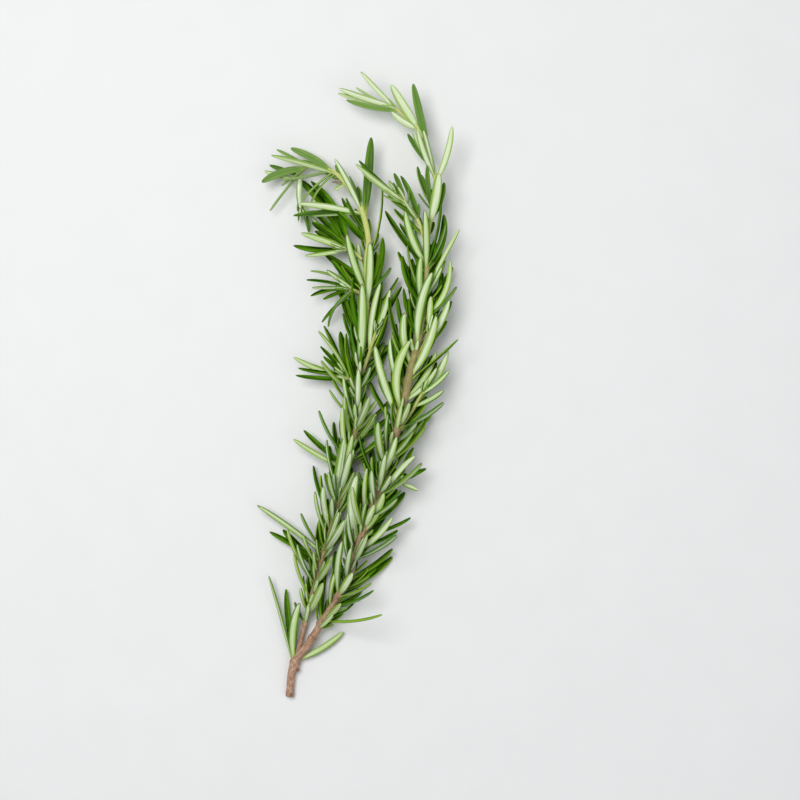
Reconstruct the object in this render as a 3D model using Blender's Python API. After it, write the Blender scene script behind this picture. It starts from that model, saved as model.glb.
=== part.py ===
"""A cut sprig of rosemary, forked just above its cut end, lying on a flat surface.

The growing tips point to +Y, the surface is z = 0 and the origin is under the middle of the sprig.
The tables and the growth functions work in millimetres, and the meshes are in metres.
"""

import math
import random

import bmesh
import bpy
import numpy as np

MM = 0.001
ROUTE_STEP = 1.0
STEM_STEP = 5.0
JOINT_GAP = 0.3
LEAF_THICKNESS = 0.9
ROOT_DEPTH = 0.5
TIP_CLEARANCE = 0.1
# Where the bare foot ends, as a distance from the cut end along each branch.
MAIN_FOOT = 24.0
LEFT_FOOT = 21.0

# Each stem as points (x, y, height, radius), from its foot to its tip.
MAIN_POINTS = (
    (-24.5, -110.0, 1.3, 1.4),
    (-22.9, -98.7, 2.5, 1.45),
    (-16.2, -88.8, 4.6, 1.35),
    (-4.4, -69.0, 7.8, 1.3),
    (-0.4, -56.5, 9.4, 1.35),
    (6.3, -40.3, 10.6, 1.4),
    (9.5, -28.0, 11.3, 1.45),
    (13.3, -17.0, 11.8, 1.5),
    (17.9, 3.2, 12.5, 1.5),
    (21.7, 19.3, 13.0, 1.3),
    (23.8, 38.5, 13.2, 1.0),
    (24.1, 49.0, 13.2, 0.75),
    (26.3, 65.0, 13.0, 0.7),
    (27.0, 73.0, 12.8, 0.65),
    (25.2, 81.0, 12.6, 0.6),
    (21.8, 89.0, 12.5, 0.55),
    (17.2, 93.5, 12.4, 0.5),
    (12.6, 97.7, 12.2, 0.4),
)
LEFT_POINTS = (
    (-24.5, -110.0, 1.3, 1.4),
    (-22.9, -98.7, 2.4, 1.0),
    (-20.6, -90.5, 2.6, 0.85),
    (-14.0, -65.1, 4.4, 0.85),
    (-9.1, -48.3, 5.6, 0.95),
    (-4.6, -30.5, 6.3, 1.0),
    (-1.7, -19.3, 6.7, 1.0),
    (-0.3, -10.8, 7.0, 1.05),
    (0.1, 2.8, 7.3, 0.95),
    (2.4, 17.8, 7.6, 0.9),
    (3.1, 29.0, 7.8, 0.9),
    (2.8, 43.4, 7.8, 0.9),
    (3.6, 51.1, 7.8, 0.95),
    (1.4, 61.6, 7.8, 1.0),
    (-2.1, 67.9, 7.8, 0.85),
    (-7.0, 74.2, 7.7, 0.75),
    (-11.6, 76.5, 7.4, 0.6),
    (-16.8, 77.8, 6.9, 0.5),
    (-20.8, 74.2, 5.9, 0.45),
    (-21.4, 68.6, 5.0, 0.42),
    (-20.4, 63.6, 4.2, 0.4),
)
MAIN_SHOOT_POINTS = (
    (23.3, 51.2, 14.4, 0.6),
    (20.8, 58.0, 16.3, 0.6),
    (16.3, 64.2, 17.0, 0.5),
    (13.6, 66.6, 17.2, 0.35),
)
LEFT_SHOOT_POINTS = (
    (1.4, 44.5, 8.3, 0.55),
    (-2.1, 47.6, 9.0, 0.5),
    (-5.2, 48.4, 9.2, 0.35),
)

# Short twigs that are fused to a node, as the node's name and the twig's points.
TWIGS = {
    "left_mid_twig": (
        "left_branch",
        ((2.9, 29.0, 7.9, 0.55), (0.6, 32.6, 8.6, 0.5), (-3.6, 34.8, 9.2, 0.35)),
    ),
    "left_low_twig": (
        "left_branch",
        ((-0.2, -3.5, 7.2, 0.6), (-1.8, 0.8, 7.8, 0.55), (-4.8, 4.1, 8.2, 0.4)),
    ),
    "left_inner_twig": (
        "left_branch",
        ((0.1, 1.0, 7.4, 0.65), (2.9, 8.4, 8.8, 0.6), (5.0, 15.2, 9.7, 0.5), (6.2, 19.5, 10.1, 0.35)),
    ),
    "main_low_twig": (
        "main_branch",
        ((6.8, -39.5, 10.8, 0.7), (11.2, -35.6, 11.6, 0.55), (14.6, -33.4, 11.8, 0.35)),
    ),
    "main_right_twig": (
        "main_branch",
        ((20.1, 9.0, 12.9, 0.6), (23.0, 14.5, 14.0, 0.55), (24.8, 19.5, 14.6, 0.35)),
    ),
    "main_outer_twig": (
        "main_branch",
        ((13.6, -16.0, 11.9, 0.7), (18.5, -9.5, 12.6, 0.6), (22.6, -2.0, 13.2, 0.4)),
    ),
}

# Leaves that show well enough to be placed one by one. A row holds the x and y where the leaf
# leaves its stem, the x and y of its tip, how far the tip is above the foot, its width, its turn
# in degrees (0 shows the dark upper face from above, 180 the pale underside) and how far its
# middle bows to the left of its direction.
FOOT_LEAVES = (
    (-22.9, -98.0, -31.7, -67.0, 1.5, 1.8, 120, -2.0),
    (-22.7, -96.5, -20.6, -76.3, 4.0, 3.0, 180, 1.5),
    (-22.4, -95.5, -25.6, -71.8, 0.5, 2.2, 0, 0.5),
    (-21.6, -96.5, -5.3, -87.0, -1.0, 2.4, 165, -1.0),
)
MAIN_LEAVES = (
    (12.6, 97.5, 1.0, 109.7, 2.0, 1.8, 160, 0.8),
    (21.0, 89.6, 11.5, 105.0, 3.5, 3.1, 180, 1.0),
    (12.6, 97.6, -6.7, 104.0, 1.0, 2.2, 150, -0.5),
    (13.0, 97.4, -7.2, 102.8, -0.6, 1.8, 130, -0.5),
    (13.5, 97.0, -0.7, 104.6, 0.2, 1.5, 100, 0.0),
    (14.5, 96.0, -4.2, 100.3, -2.5, 1.8, 0, 0.5),
    (20.6, 89.8, 11.8, 96.0, -0.5, 2.4, 160, 0.5),
    (23.4, 86.0, 17.2, 97.9, 1.2, 1.9, 150, 0.0),
    (24.2, 84.0, 19.3, 106.0, -1.5, 2.9, 10, 1.5),
    (26.0, 76.0, 17.3, 88.4, -1.0, 2.0, 0, 0.0),
    (26.4, 76.5, 19.3, 88.7, 3.0, 2.0, 180, 0.5),
    (27.0, 72.8, 20.7, 89.0, 5.2, 2.0, 170, 0.5),
    (27.2, 72.5, 22.9, 89.3, 4.2, 2.2, 150, -1.2),
    (27.0, 71.5, 32.9, 90.7, 1.5, 2.3, 170, -1.0),
    (26.0, 57.0, 28.2, 74.0, 5.0, 3.4, 180, -0.8),
    (26.0, 63.0, 20.8, 76.7, 1.0, 2.0, 40, 0.5),
    (25.5, 61.0, 24.2, 77.0, 2.8, 1.8, 20, 0.0),
    (26.0, 58.5, 30.2, 71.4, -2.0, 2.4, 0, -0.8),
    (25.8, 61.8, 21.2, 67.2, 1.5, 1.5, 90, 0.0),
    (24.0, 43.0, 16.5, 60.6, 5.0, 2.9, 180, 1.5),
    (23.8, 42.0, 9.5, 61.3, 0.0, 2.1, 20, 0.0),
    (23.8, 45.0, 14.5, 57.1, -1.5, 1.7, 0, 0.0),
    (23.9, 47.0, 19.6, 61.4, -3.0, 2.9, 165, 0.0),
    (24.2, 41.0, 23.3, 61.3, 4.6, 2.5, 175, -1.0),
    (24.2, 42.5, 29.1, 64.8, 2.0, 1.8, 80, -0.8),
    (24.2, 41.0, 30.0, 60.2, -2.0, 2.7, 0, -3.0),
    (24.0, 32.5, 35.5, 54.8, 1.0, 1.7, 140, 1.8),
    (23.0, 23.5, 32.2, 43.9, 2.0, 2.1, 165, -4.5),
    (24.0, 31.0, 29.4, 41.5, 1.5, 1.4, 150, 0.0),
    (21.6, 17.5, 29.4, 40.0, -2.5, 3.0, 15, -3.0),
    (22.2, 24.5, 19.2, 44.6, -1.5, 3.0, 0, 2.0),
    (23.5, 29.0, 22.0, 45.0, 3.5, 2.6, 180, 1.0),
    (23.0, 29.0, 15.6, 45.5, -1.0, 2.3, 0, 2.0),
    (20.9, 15.5, 25.9, 39.4, 5.5, 3.3, 180, 3.2),
    (18.6, 4.0, 27.3, 24.3, 4.5, 2.8, 180, -1.5),
    (18.3, 2.5, 35.0, 16.3, 2.5, 2.0, 70, 0.5),
    (18.8, 8.0, 16.3, 25.6, 4.0, 2.8, 180, 2.0),
    (15.2, -8.0, 18.2, 15.8, 5.0, 3.0, 170, 5.5),
    (20.5, 17.0, 17.6, 30.5, 1.5, 1.7, 20, 1.2),
    (21.0, 18.0, 16.0, 34.3, 0.0, 1.7, 0, 1.0),
    (19.3, 8.0, 10.9, 31.2, 0.0, 2.1, 50, 2.0),
    (18.0, 0.5, 14.0, 17.8, -1.5, 2.7, 0, 1.5),
    (17.0, -3.0, 11.2, 16.5, 1.0, 2.0, 150, 1.5),
    (17.0, -3.5, 27.3, 12.2, 1.0, 2.1, 165, -2.0),
    (16.5, -5.0, 27.7, 6.5, 2.5, 2.1, 170, -1.5),
    (19.0, 6.0, 28.0, 21.0, -3.0, 2.1, 0, -1.0),
    (14.5, -10.5, 5.9, 14.3, 0.5, 2.9, 170, 0.5),
    (16.0, -4.0, 13.3, 22.0, -2.0, 3.0, 0, 1.0),
    (19.5, 12.0, 13.7, 31.2, -1.0, 1.8, 0, 1.0),
    (20.0, 10.0, 18.2, 27.3, -2.5, 2.2, 0, 0.8),
    (0.0, -55.0, -0.2, -31.0, 4.8, 3.6, 180, 2.5),
    (3.0, -51.0, 9.1, -37.4, 3.5, 2.8, 175, -1.0),
    (-1.0, -58.0, 12.1, -46.0, 2.5, 2.3, 170, -1.0),
)
MAIN_LOW_TWIG_LEAVES = (
    (13.5, -34.0, 20.3, -31.2, 0.5, 1.6, 60, 0.3),
    (10.0, -36.5, 20.0, -24.5, 1.5, 2.2, 170, 0.8),
    (12.5, -34.6, 24.0, -29.0, -0.5, 2.0, 15, 0.8),
    (14.4, -33.5, 21.0, -36.5, 0.5, 1.7, 150, 0.0),
    (14.4, -33.5, 19.5, -21.5, -1.2, 1.7, 0, 0.5),
)
MAIN_RIGHT_TWIG_LEAVES = (
    (22.0, 12.5, 31.9, 29.9, 1.5, 2.6, 160, -2.0),
    (24.5, 18.5, 32.8, 29.9, -2.0, 1.8, 0, -1.5),
    (22.0, 12.5, 31.2, 22.9, -1.5, 2.1, 20, -0.5),
    (24.7, 19.0, 25.5, 31.2, 1.5, 2.2, 180, -0.5),
)
MAIN_OUTER_TWIG_LEAVES = (
    (21.5, -4.0, 31.5, 12.6, 1.5, 2.2, 170, -2.5),
    (22.3, -2.5, 32.0, 5.6, 0.5, 1.8, 160, -0.5),
    (21.0, -5.0, 30.3, 9.5, -1.5, 2.2, 0, -1.0),
    (19.0, -8.5, 27.6, 8.5, -2.5, 2.4, 0, -1.5),
    (20.0, -7.5, 30.0, -1.5, -0.5, 2.0, 165, -0.5),
)
MAIN_SHOOT_LEAVES = (
    (16.5, 63.5, 0.4, 78.4, 0.5, 2.0, 10, 0.3),
    (16.0, 64.0, -0.6, 76.8, 1.5, 2.1, 140, -0.5),
    (17.9, 62.4, 1.6, 74.5, 0.5, 2.1, 170, -1.0),
    (16.0, 64.5, 12.6, 73.9, 1.5, 1.8, 10, 0.0),
    (21.0, 57.0, 14.9, 73.2, 2.5, 2.0, 15, -1.5),
    (19.5, 59.8, 10.5, 66.9, -2.5, 2.2, 0, 0.0),
)
LEFT_LEAVES = (
    (1.8, 60.0, 4.6, 87.5, 1.0, 3.2, 5, 1.5),
    (1.7, 61.5, -3.1, 73.9, 0.5, 1.5, 70, -1.2),
    (1.4, 62.0, -8.2, 79.6, 2.0, 2.0, 165, -1.4),
    (-5.0, 71.5, -8.5, 68.8, 1.5, 1.4, 150, 0.0),
    (-9.8, 75.5, -23.8, 83.7, 0.5, 2.8, 10, -0.5),
    (-8.0, 74.5, -30.5, 80.9, 2.8, 2.2, 135, -2.0),
    (-18.0, 77.5, -28.9, 83.6, -2.0, 1.5, 60, 0.0),
    (-18.5, 77.5, -34.0, 71.8, 0.5, 3.0, 20, -1.4),
    (-20.5, 74.3, -31.5, 78.2, -2.5, 1.7, 0, 0.0),
    (-21.0, 72.0, -33.3, 76.0, -1.0, 1.6, 170, 0.0),
    (-19.5, 76.5, -31.3, 61.8, -1.6, 1.5, 96, -1.4),
    (-18.0, 77.0, -27.0, 70.5, 2.0, 1.5, 90, 0.0),
    (-10.0, 75.5, -27.0, 72.3, 3.1, 1.8, 102, 0.1),
    (-9.0, 75.3, -19.6, 65.1, 2.5, 1.6, 95, -1.5),
    (-8.0, 74.6, -16.6, 63.7, 3.6, 1.6, 75, -2.4),
    (-20.3, 63.6, -17.5, 54.3, -0.5, 1.9, 30, 1.0),
    (-20.6, 75.0, -20.4, 62.5, 1.0, 2.2, 175, -1.6),
    (1.4, 61.0, -20.7, 63.7, 3.8, 2.3, 175, -1.6),
    (1.4, 60.5, -22.8, 59.9, 1.0, 2.0, 15, -2.0),
    (1.2, 61.0, -16.1, 59.5, 4.5, 1.1, 120, -0.5),
    (2.2, 55.0, -5.8, 66.4, -0.5, 1.6, 0, 0.8),
    (2.2, 54.0, -4.2, 66.0, 1.8, 1.5, 40, 0.5),
    (3.5, 50.5, -7.4, 61.2, 2.4, 2.6, 10, -1.0),
    (2.9, 33.5, -4.0, 53.2, 4.5, 2.6, 180, 0.6),
    (3.0, 36.0, 0.0, 50.5, -1.5, 2.2, 180, 0.3),
    (3.1, 29.0, 4.2, 50.4, 5.0, 2.9, 180, -0.5),
    (3.1, 31.0, 8.6, 52.2, 0.5, 2.6, 5, -1.5),
    (2.9, 44.0, 8.4, 71.4, 1.5, 1.7, 85, -2.0),
    (0.6, 7.0, 1.4, 35.9, 5.4, 3.3, 176, -2.2),
    (2.0, 16.0, -1.8, 38.2, 1.5, 2.2, 70, 1.0),
    (1.0, 14.0, -6.0, 34.7, -1.5, 2.8, 5, 0.5),
    (1.3, 16.0, -2.8, 32.2, 0.5, 1.7, 60, 0.3),
    (-0.2, -6.0, 1.2, 19.0, 2.0, 2.0, 60, 0.0),
    (0.2, 0.5, -6.3, 19.3, -0.5, 2.8, 0, 0.8),
    (0.2, -0.5, -4.2, 18.6, 2.0, 1.9, 30, 0.8),
    (0.2, -1.0, 9.1, 13.7, 0.5, 1.9, 60, -0.5),
    (-7.6, -43.5, -4.6, -17.5, 4.0, 3.5, 180, -0.5),
    (-4.6, -29.5, -22.9, -18.6, 1.5, 2.0, 150, 0.5),
    (-4.4, -28.0, -19.3, -15.5, -0.5, 1.9, 10, 0.5),
    (-9.8, -50.5, -12.2, -35.1, 3.0, 2.4, 175, 1.0),
    (-12.2, -58.5, -35.7, -42.0, 1.5, 2.1, 150, -1.5),
    (-13.4, -62.0, -31.5, -51.5, -0.8, 2.0, 10, -0.5),
)
LEFT_MID_TWIG_LEAVES = (
    (-1.5, 34.0, -9.5, 44.5, -1.5, 1.9, 0, 0.0),
    (-2.1, 34.3, -16.8, 40.4, 1.0, 1.5, 100, -3.5),
    (-1.4, 34.0, -11.0, 40.6, 0.5, 2.0, 150, 0.5),
    (-3.5, 34.8, -18.2, 37.3, 0.0, 1.7, 60, -2.0),
    (-3.5, 34.8, -16.1, 34.5, 1.2, 1.5, 120, -0.5),
    (-3.0, 34.6, -16.8, 31.7, -1.0, 1.6, 0, -2.5),
    (-2.5, 34.5, -12.3, 30.4, 0.0, 1.4, 20, -0.8),
    (-1.4, 34.0, -10.5, 20.7, 1.0, 2.0, 110, -4.0),
    (-1.0, 33.8, -12.9, 22.4, -1.0, 1.4, 40, -2.0),
)
LEFT_LOW_TWIG_LEAVES = (
    (-3.5, 3.0, -22.8, 10.2, 1.5, 2.0, 170, 0.5),
    (-4.2, 3.6, -18.9, 8.2, 0.8, 2.1, 165, 0.0),
    (-4.5, 3.9, -21.0, 6.3, -0.3, 1.4, 20, 0.0),
    (-3.0, 2.4, -22.1, 3.8, -1.8, 1.6, 0, 0.0),
    (-3.5, 3.0, -14.0, 19.3, 1.6, 2.2, 110, -1.0),
    (-4.0, 3.4, -12.3, 21.5, 0.0, 1.6, 40, 0.0),
    (-3.0, 2.6, -13.3, 14.0, 0.9, 1.6, 30, 0.0),
    (-4.6, 4.0, -12.3, 10.5, -1.2, 1.6, 0, 0.0),
)
LEFT_INNER_TWIG_LEAVES = (
    (4.2, 12.5, 7.9, 36.1, 1.0, 2.4, 150, 0.8),
    (4.8, 14.5, 11.2, 33.8, 1.5, 2.3, 165, -0.5),
    (5.5, 17.5, 15.4, 35.2, -1.0, 1.9, 10, 1.5),
    (2.8, 8.4, 10.5, 25.0, 0.8, 1.8, 40, -0.8),
    (3.0, 9.0, 8.7, 22.0, -3.0, 2.0, 0, -1.0),
    (6.0, 18.5, 8.2, 38.9, -1.5, 1.7, 0, -1.2),
)
LEFT_SHOOT_LEAVES = (
    (-4.6, 48.3, -20.0, 53.6, 1.5, 2.4, 170, 0.5),
    (-4.6, 48.2, -22.8, 49.4, -0.5, 2.2, 10, 1.0),
    (-3.6, 48.0, -18.6, 45.6, 1.0, 1.6, 165, -0.5),
    (-3.6, 48.2, -16.3, 57.6, -1.0, 3.0, 0, 0.0),
    (-3.2, 48.4, -17.0, 72.6, -6.5, 2.6, 0, -4.0),
    (-4.2, 48.6, -21.5, 73.6, -7.2, 3.2, 10, -3.5),
    (-4.6, 48.3, -15.4, 54.8, -2.5, 2.0, 0, 0.5),
    (-3.8, 48.6, -16.6, 62.0, -3.0, 2.0, 0, -1.0),
    (-3.6, 48.4, -17.4, 61.0, -3.5, 1.2, 150, 2.5),
)
# Leaves that bend down and carry the sprig: foot x and y, tip x and y, and width.
MAIN_RESTS = (
    (21.6, 19.0, 30.6, 33.0, 2.8),
    (5.6, -42.0, 17.0, -31.0, 2.8),
)
LEFT_RESTS = (
    (2.9, 36.0, -12.0, 47.0, 2.8),
    (-14.0, -65.0, -27.0, -51.0, 2.8),
)
REST_DIP = 2.0
REST_HEIGHT = 0.3

# Growth of the leaves that the rule places: opposite pairs, each pair a quarter turn on.
PAIR_GAP = 11.5
QUARTER_TURN = 90.0
TURN_DRIFT = 7.0
SPREAD = (34.0, 52.0)
TUFT_SPREAD = (20.0, 34.0)
TUFT_SIZE = (0.35, 0.55)
TUFT_RAISE = 1.2
TUFT_SWING = 34.0
UNDER_LIMIT = -0.6
AZIMUTH_TRIES = (0, 14, -14, 28, -28, 42, -42)
HEIGHT_TRIES = (0, 1, -1, 2, -2, 3, -3, 4, -4, 5)
HEIGHT_SHIFT = 1.1

# Room kept between the middles of thin leaves: of another node, and of the same node.
FAR_ROOM = 1.75
OWN_ROOM = 1.0
TEST_STATIONS = np.linspace(0.06, 1.0, 15)
TEST_ACROSS = np.array((-0.45, 0.0, 0.45))
FREE_FROM = 0.35
NEAR_ENOUGH = 4.0

# Width along a leaf, as shares of its length and of its greatest width.
WIDTH_AT = (0.0, 0.1, 0.25, 0.55, 0.84, 0.95, 1.0)
WIDTH_IS = (0.5, 0.58, 0.92, 1.0, 0.87, 0.5, 0.1)
LONG_RINGS = (0.0, 0.12, 0.36, 0.72, 0.93)
LEAF_RINGS = (0.0, 0.2, 0.6, 0.92)
SHORT_RINGS = (0.0, 0.3, 0.8)
LONG_LEAF = 19.0
SHORT_LEAF = 9.0


def clear_scene():
    for thing in list(bpy.data.objects):
        bpy.data.objects.remove(thing, do_unlink=True)
    for group in list(bpy.data.collections):
        bpy.data.collections.remove(group)


def group_named(name, hidden=False):
    group = bpy.data.collections.new(name)
    group.hide_render = hidden
    bpy.context.scene.collection.children.link(group)
    return group


def material_named(name, colour, roughness):
    material = bpy.data.materials.new(name)
    material.use_nodes = True
    shader = material.node_tree.nodes["Principled BSDF"]
    shader.inputs["Base Color"].default_value = (*colour, 1.0)
    shader.inputs["Roughness"].default_value = roughness
    shader.inputs["Metallic"].default_value = 0.0
    return material


def unit(vector):
    return vector / np.linalg.norm(vector)


def route_of(points):
    """The smooth line through hand-placed points, as rows of x, y, z and radius 1 mm apart."""
    rows = np.array(points, float)
    rows = np.vstack([2 * rows[0] - rows[1], rows, 2 * rows[-1] - rows[-2]])
    line = []
    for before, start, end, after in zip(rows, rows[1:], rows[2:], rows[3:]):
        count = max(2, round(np.linalg.norm((end - start)[:3]) / ROUTE_STEP))
        for t in np.arange(count) / count:
            slope = (end - before) * t
            bend = (2 * before - 5 * start + 4 * end - after) * t**2
            ease = (3 * start - before - 3 * end + after) * t**3
            line.append(start + 0.5 * (slope + bend + ease))
    line.append(rows[-2])
    return np.array(line)


def lengths_along(route):
    steps = np.linalg.norm(np.diff(route[:, :3], axis=0), axis=1)
    return np.concatenate([[0.0], np.cumsum(steps)])


def part_of(route, start, end=None):
    """The stretch of a route between two distances from its foot."""
    along = lengths_along(route)
    end = along[-1] if end is None else end
    marks = np.concatenate([[start], along[(along > start + 0.2) & (along < end - 0.2)], [end]])
    return np.array([[np.interp(mark, along, column) for column in route.T] for mark in marks])


def place_on(route, index):
    """The middle, direction and radius of a stem at one row of its route."""
    ahead = route[min(index + 1, len(route) - 1), :3]
    behind = route[max(index - 1, 0), :3]
    return route[index, :3], unit(ahead - behind), route[index, 3]


def nearest(route, x, y):
    return int(np.argmin(np.hypot(route[:, 0] - x, route[:, 1] - y)))


class Leaf:
    """A curved leaf from root to tip, its widest width and the way that its upper face looks."""

    def __init__(self, root, bend, tip, width, face):
        self.root = np.array(root, float)
        self.bend = np.array(bend, float)
        self.tip = np.array(tip, float)
        self.width = width
        self.face = np.array(face, float)
        self.length = np.linalg.norm(self.tip - self.root)
        self.kept_points = None

    def frames(self, stations):
        """Middle points, directions across and upper normals at shares of the length."""
        t = np.asarray(stations, float)[:, None]
        middle = (1 - t) ** 2 * self.root + 2 * t * (1 - t) * self.bend + t**2 * self.tip
        along = (1 - t) * (self.bend - self.root) + t * (self.tip - self.bend)
        along /= np.linalg.norm(along, axis=1, keepdims=True)
        upper = self.face - (along @ self.face)[:, None] * along
        upper /= np.linalg.norm(upper, axis=1, keepdims=True)
        return middle, np.cross(along, upper), upper

    def half_widths(self, stations):
        return 0.5 * self.width * np.interp(stations, WIDTH_AT, WIDTH_IS)

    def kept(self):
        """The test points of a leaf that has its final shape."""
        if self.kept_points is None:
            self.kept_points = self.test_points()
            points = self.kept_points.reshape(-1, 3)
            self.centre = points.mean(axis=0)
            self.reach = np.linalg.norm(points - self.centre, axis=1).max()
        return self.kept_points

    def near(self, other):
        """True if the two leaves could come within reach of each other."""
        self.kept()
        other.kept()
        gap = np.linalg.norm(self.centre - other.centre) - self.reach - other.reach
        return gap < NEAR_ENOUGH

    def test_points(self):
        middle, across, _ = self.frames(TEST_STATIONS)
        reach = self.half_widths(TEST_STATIONS)[:, None, None]
        return middle[:, None] + 2 * reach * TEST_ACROSS[None, :, None] * across[:, None]

    def keep_off_the_surface(self):
        """Bends the leaf up until all of it is clear of the surface."""
        for _ in range(30):
            lowest = self.test_points()[..., 2].min() - LEAF_THICKNESS / 2
            if lowest > TIP_CLEARANCE:
                return
            self.tip[2] += 0.4
            self.bend[2] += 0.25


def turned_face(direction, turn):
    """The upper normal of a leaf along this direction, turned from facing straight up."""
    raised = unit(np.array((0, 0, 1.0)) - direction[2] * direction)
    sideways = np.cross(direction, raised)
    angle = math.radians(turn)
    return math.cos(angle) * raised + math.sin(angle) * sideways


def root_on(middle, radius, heading):
    return middle + heading * max(0.0, radius - ROOT_DEPTH)


def seen_leaf(route, row, shift):
    """A leaf placed by hand, its tip moved up or down by shift."""
    foot_x, foot_y, tip_x, tip_y, rise, width, turn, bow = row
    middle, stem, radius = place_on(route, nearest(route, foot_x, foot_y))
    tip = np.array((tip_x, tip_y, middle[2] + rise + shift))
    chord = tip - middle
    outward = unit(chord - (chord @ stem) * stem)
    root = root_on(middle, radius, outward)
    left = unit(np.array((-chord[1], chord[0], 0.0)))
    arch = 0.06 * np.linalg.norm(chord)
    bend = 0.5 * (root + tip) + bow * left + arch * outward
    leaf = Leaf(root, bend, tip, width, turned_face(unit(tip - root), turn))
    leaf.keep_off_the_surface()
    return leaf


def resting_leaf(route, row):
    """A leaf that reaches the surface and lies flat on it along its outer half."""
    foot_x, foot_y, tip_x, tip_y, width = row
    middle, _, radius = place_on(route, nearest(route, foot_x, foot_y))
    tip = np.array((tip_x, tip_y, REST_HEIGHT))
    root = root_on(middle, radius, unit(np.array((0, 0, -1.0))))
    bend = 0.5 * (root + tip)
    bend[2] = -REST_DIP * middle[2] / 10
    return Leaf(root, bend, tip, width, (0, 0, 1.0))


def side_axes(stem):
    """Two directions square to a stem: to its right, and up."""
    right = unit(np.cross(stem, (0, 0, 1.0)))
    return right, np.cross(right, stem)


def grown_leaf(route, index, azimuth, spread, length, width):
    """A leaf that the growth rule places, curving up to follow its stem."""
    middle, stem, radius = place_on(route, index)
    right, up = side_axes(stem)
    angle = math.radians(azimuth)
    outward = math.cos(angle) * right + math.sin(angle) * up
    lean = math.radians(spread)
    root = root_on(middle, radius, outward)
    tip = root + length * (math.cos(lean) * stem + math.sin(lean) * outward)
    bend = 0.5 * (root + tip) + 0.1 * length * outward - 0.04 * length * stem
    upper = math.sin(lean) * stem - math.cos(lean) * outward
    leaf = Leaf(root, bend, tip, width, upper)
    leaf.keep_off_the_surface()
    return leaf


class Thicket:
    """Keeps what has been placed, so that each new leaf finds room."""

    def __init__(self):
        self.stems = {}
        self.node_of = {}
        self.leaves = {}

    def add_stem(self, name, route, node=None):
        """A stem of its own node, or a twig of another."""
        self.stems[name] = route
        self.node_of[name] = node or name
        self.leaves.setdefault(node or name, [])

    def room_from_others(self, leaf, node):
        points = leaf.kept().reshape(-1, 3)
        room = math.inf
        for name, route in self.stems.items():
            if self.node_of[name] == node:
                continue
            gaps = np.linalg.norm(points[:, None] - route[None, :, :3], axis=2) - route[:, 3]
            room = min(room, gaps.min() + 1.0)
        for other, neighbours in self.leaves.items():
            if other == node:
                continue
            for neighbour in neighbours:
                if not leaf.near(neighbour):
                    continue
                there = neighbour.kept().reshape(-1, 3)
                gaps = np.linalg.norm(points[:, None] - there[None], axis=2)
                room = min(room, gaps.min())
        return room

    def room_at_home(self, leaf, node):
        free = TEST_STATIONS > FREE_FROM
        points = leaf.kept()[free].reshape(-1, 3)
        room = math.inf
        for neighbour in self.leaves[node]:
            if not leaf.near(neighbour):
                continue
            there = neighbour.kept()[free].reshape(-1, 3)
            gaps = np.linalg.norm(points[:, None] - there[None], axis=2)
            room = min(room, gaps.min())
        return room

    def settle(self, node, choices, must_be_free):
        """Adds the first of these leaves that finds room, or else the freest unless that is asked."""
        best = None
        for leaf in choices:
            if self.room_from_others(leaf, node) < FAR_ROOM:
                continue
            room = self.room_at_home(leaf, node)
            if room >= OWN_ROOM:
                self.leaves[node].append(leaf)
                return leaf
            if best is None or room > best[0]:
                best = (room, leaf)
        if best is None or must_be_free:
            return None
        self.leaves[node].append(best[1])
        return best[1]


def add_seen_leaves(thicket, stem, rows):
    for row in rows:
        choices = (
            seen_leaf(thicket.stems[stem], row, step * HEIGHT_SHIFT) for step in HEIGHT_TRIES
        )
        thicket.settle(thicket.node_of[stem], choices, must_be_free=False)


def add_resting_leaves(thicket, stem, rows):
    for row in rows:
        thicket.leaves[thicket.node_of[stem]].append(resting_leaf(thicket.stems[stem], row))


def add_grown_leaves(thicket, node, seed, start, end, first_turn, sizes, under_only):
    """Opposite pairs with tufts in their axils, between two distances along the stem.

    sizes is (length at start, length at end, width). With under_only, only the leaves that leave
    the stem downwards are grown, because the others are placed by hand.
    """
    draw = random.Random(seed)
    route = thicket.stems[node]
    along = lengths_along(route)
    count = max(1, round((end - start) / PAIR_GAP))
    for step in range(count + 1):
        share = step / count
        base = first_turn + step * QUARTER_TURN + draw.uniform(-TURN_DRIFT, TURN_DRIFT)
        length = sizes[0] + (sizes[1] - sizes[0]) * share
        for side in (0.0, 180.0):
            spot = start + (end - start) * share + draw.uniform(-0.8, 0.8)
            azimuth = base + side
            plan = [(0.0, azimuth, draw.uniform(*SPREAD), length * draw.uniform(0.92, 1.08))]
            for swing in (-TUFT_SWING, TUFT_SWING, 0.0):
                small = length * draw.uniform(*TUFT_SIZE)
                plan.append((TUFT_RAISE, azimuth + swing, draw.uniform(*TUFT_SPREAD), small))
            for raised, facing, spread, size in plan:
                if under_only and math.sin(math.radians(facing)) > UNDER_LIMIT:
                    continue
                index = int(np.searchsorted(along, min(spot + raised, along[-1])))
                index = min(index, len(route) - 1)
                width = sizes[2] * (0.55 + 0.45 * min(1.0, size / length))
                choices = (
                    grown_leaf(route, index, facing + turn, spread, size, width)
                    for turn in AZIMUTH_TRIES
                )
                thicket.settle(node, choices, must_be_free=True)


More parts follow.
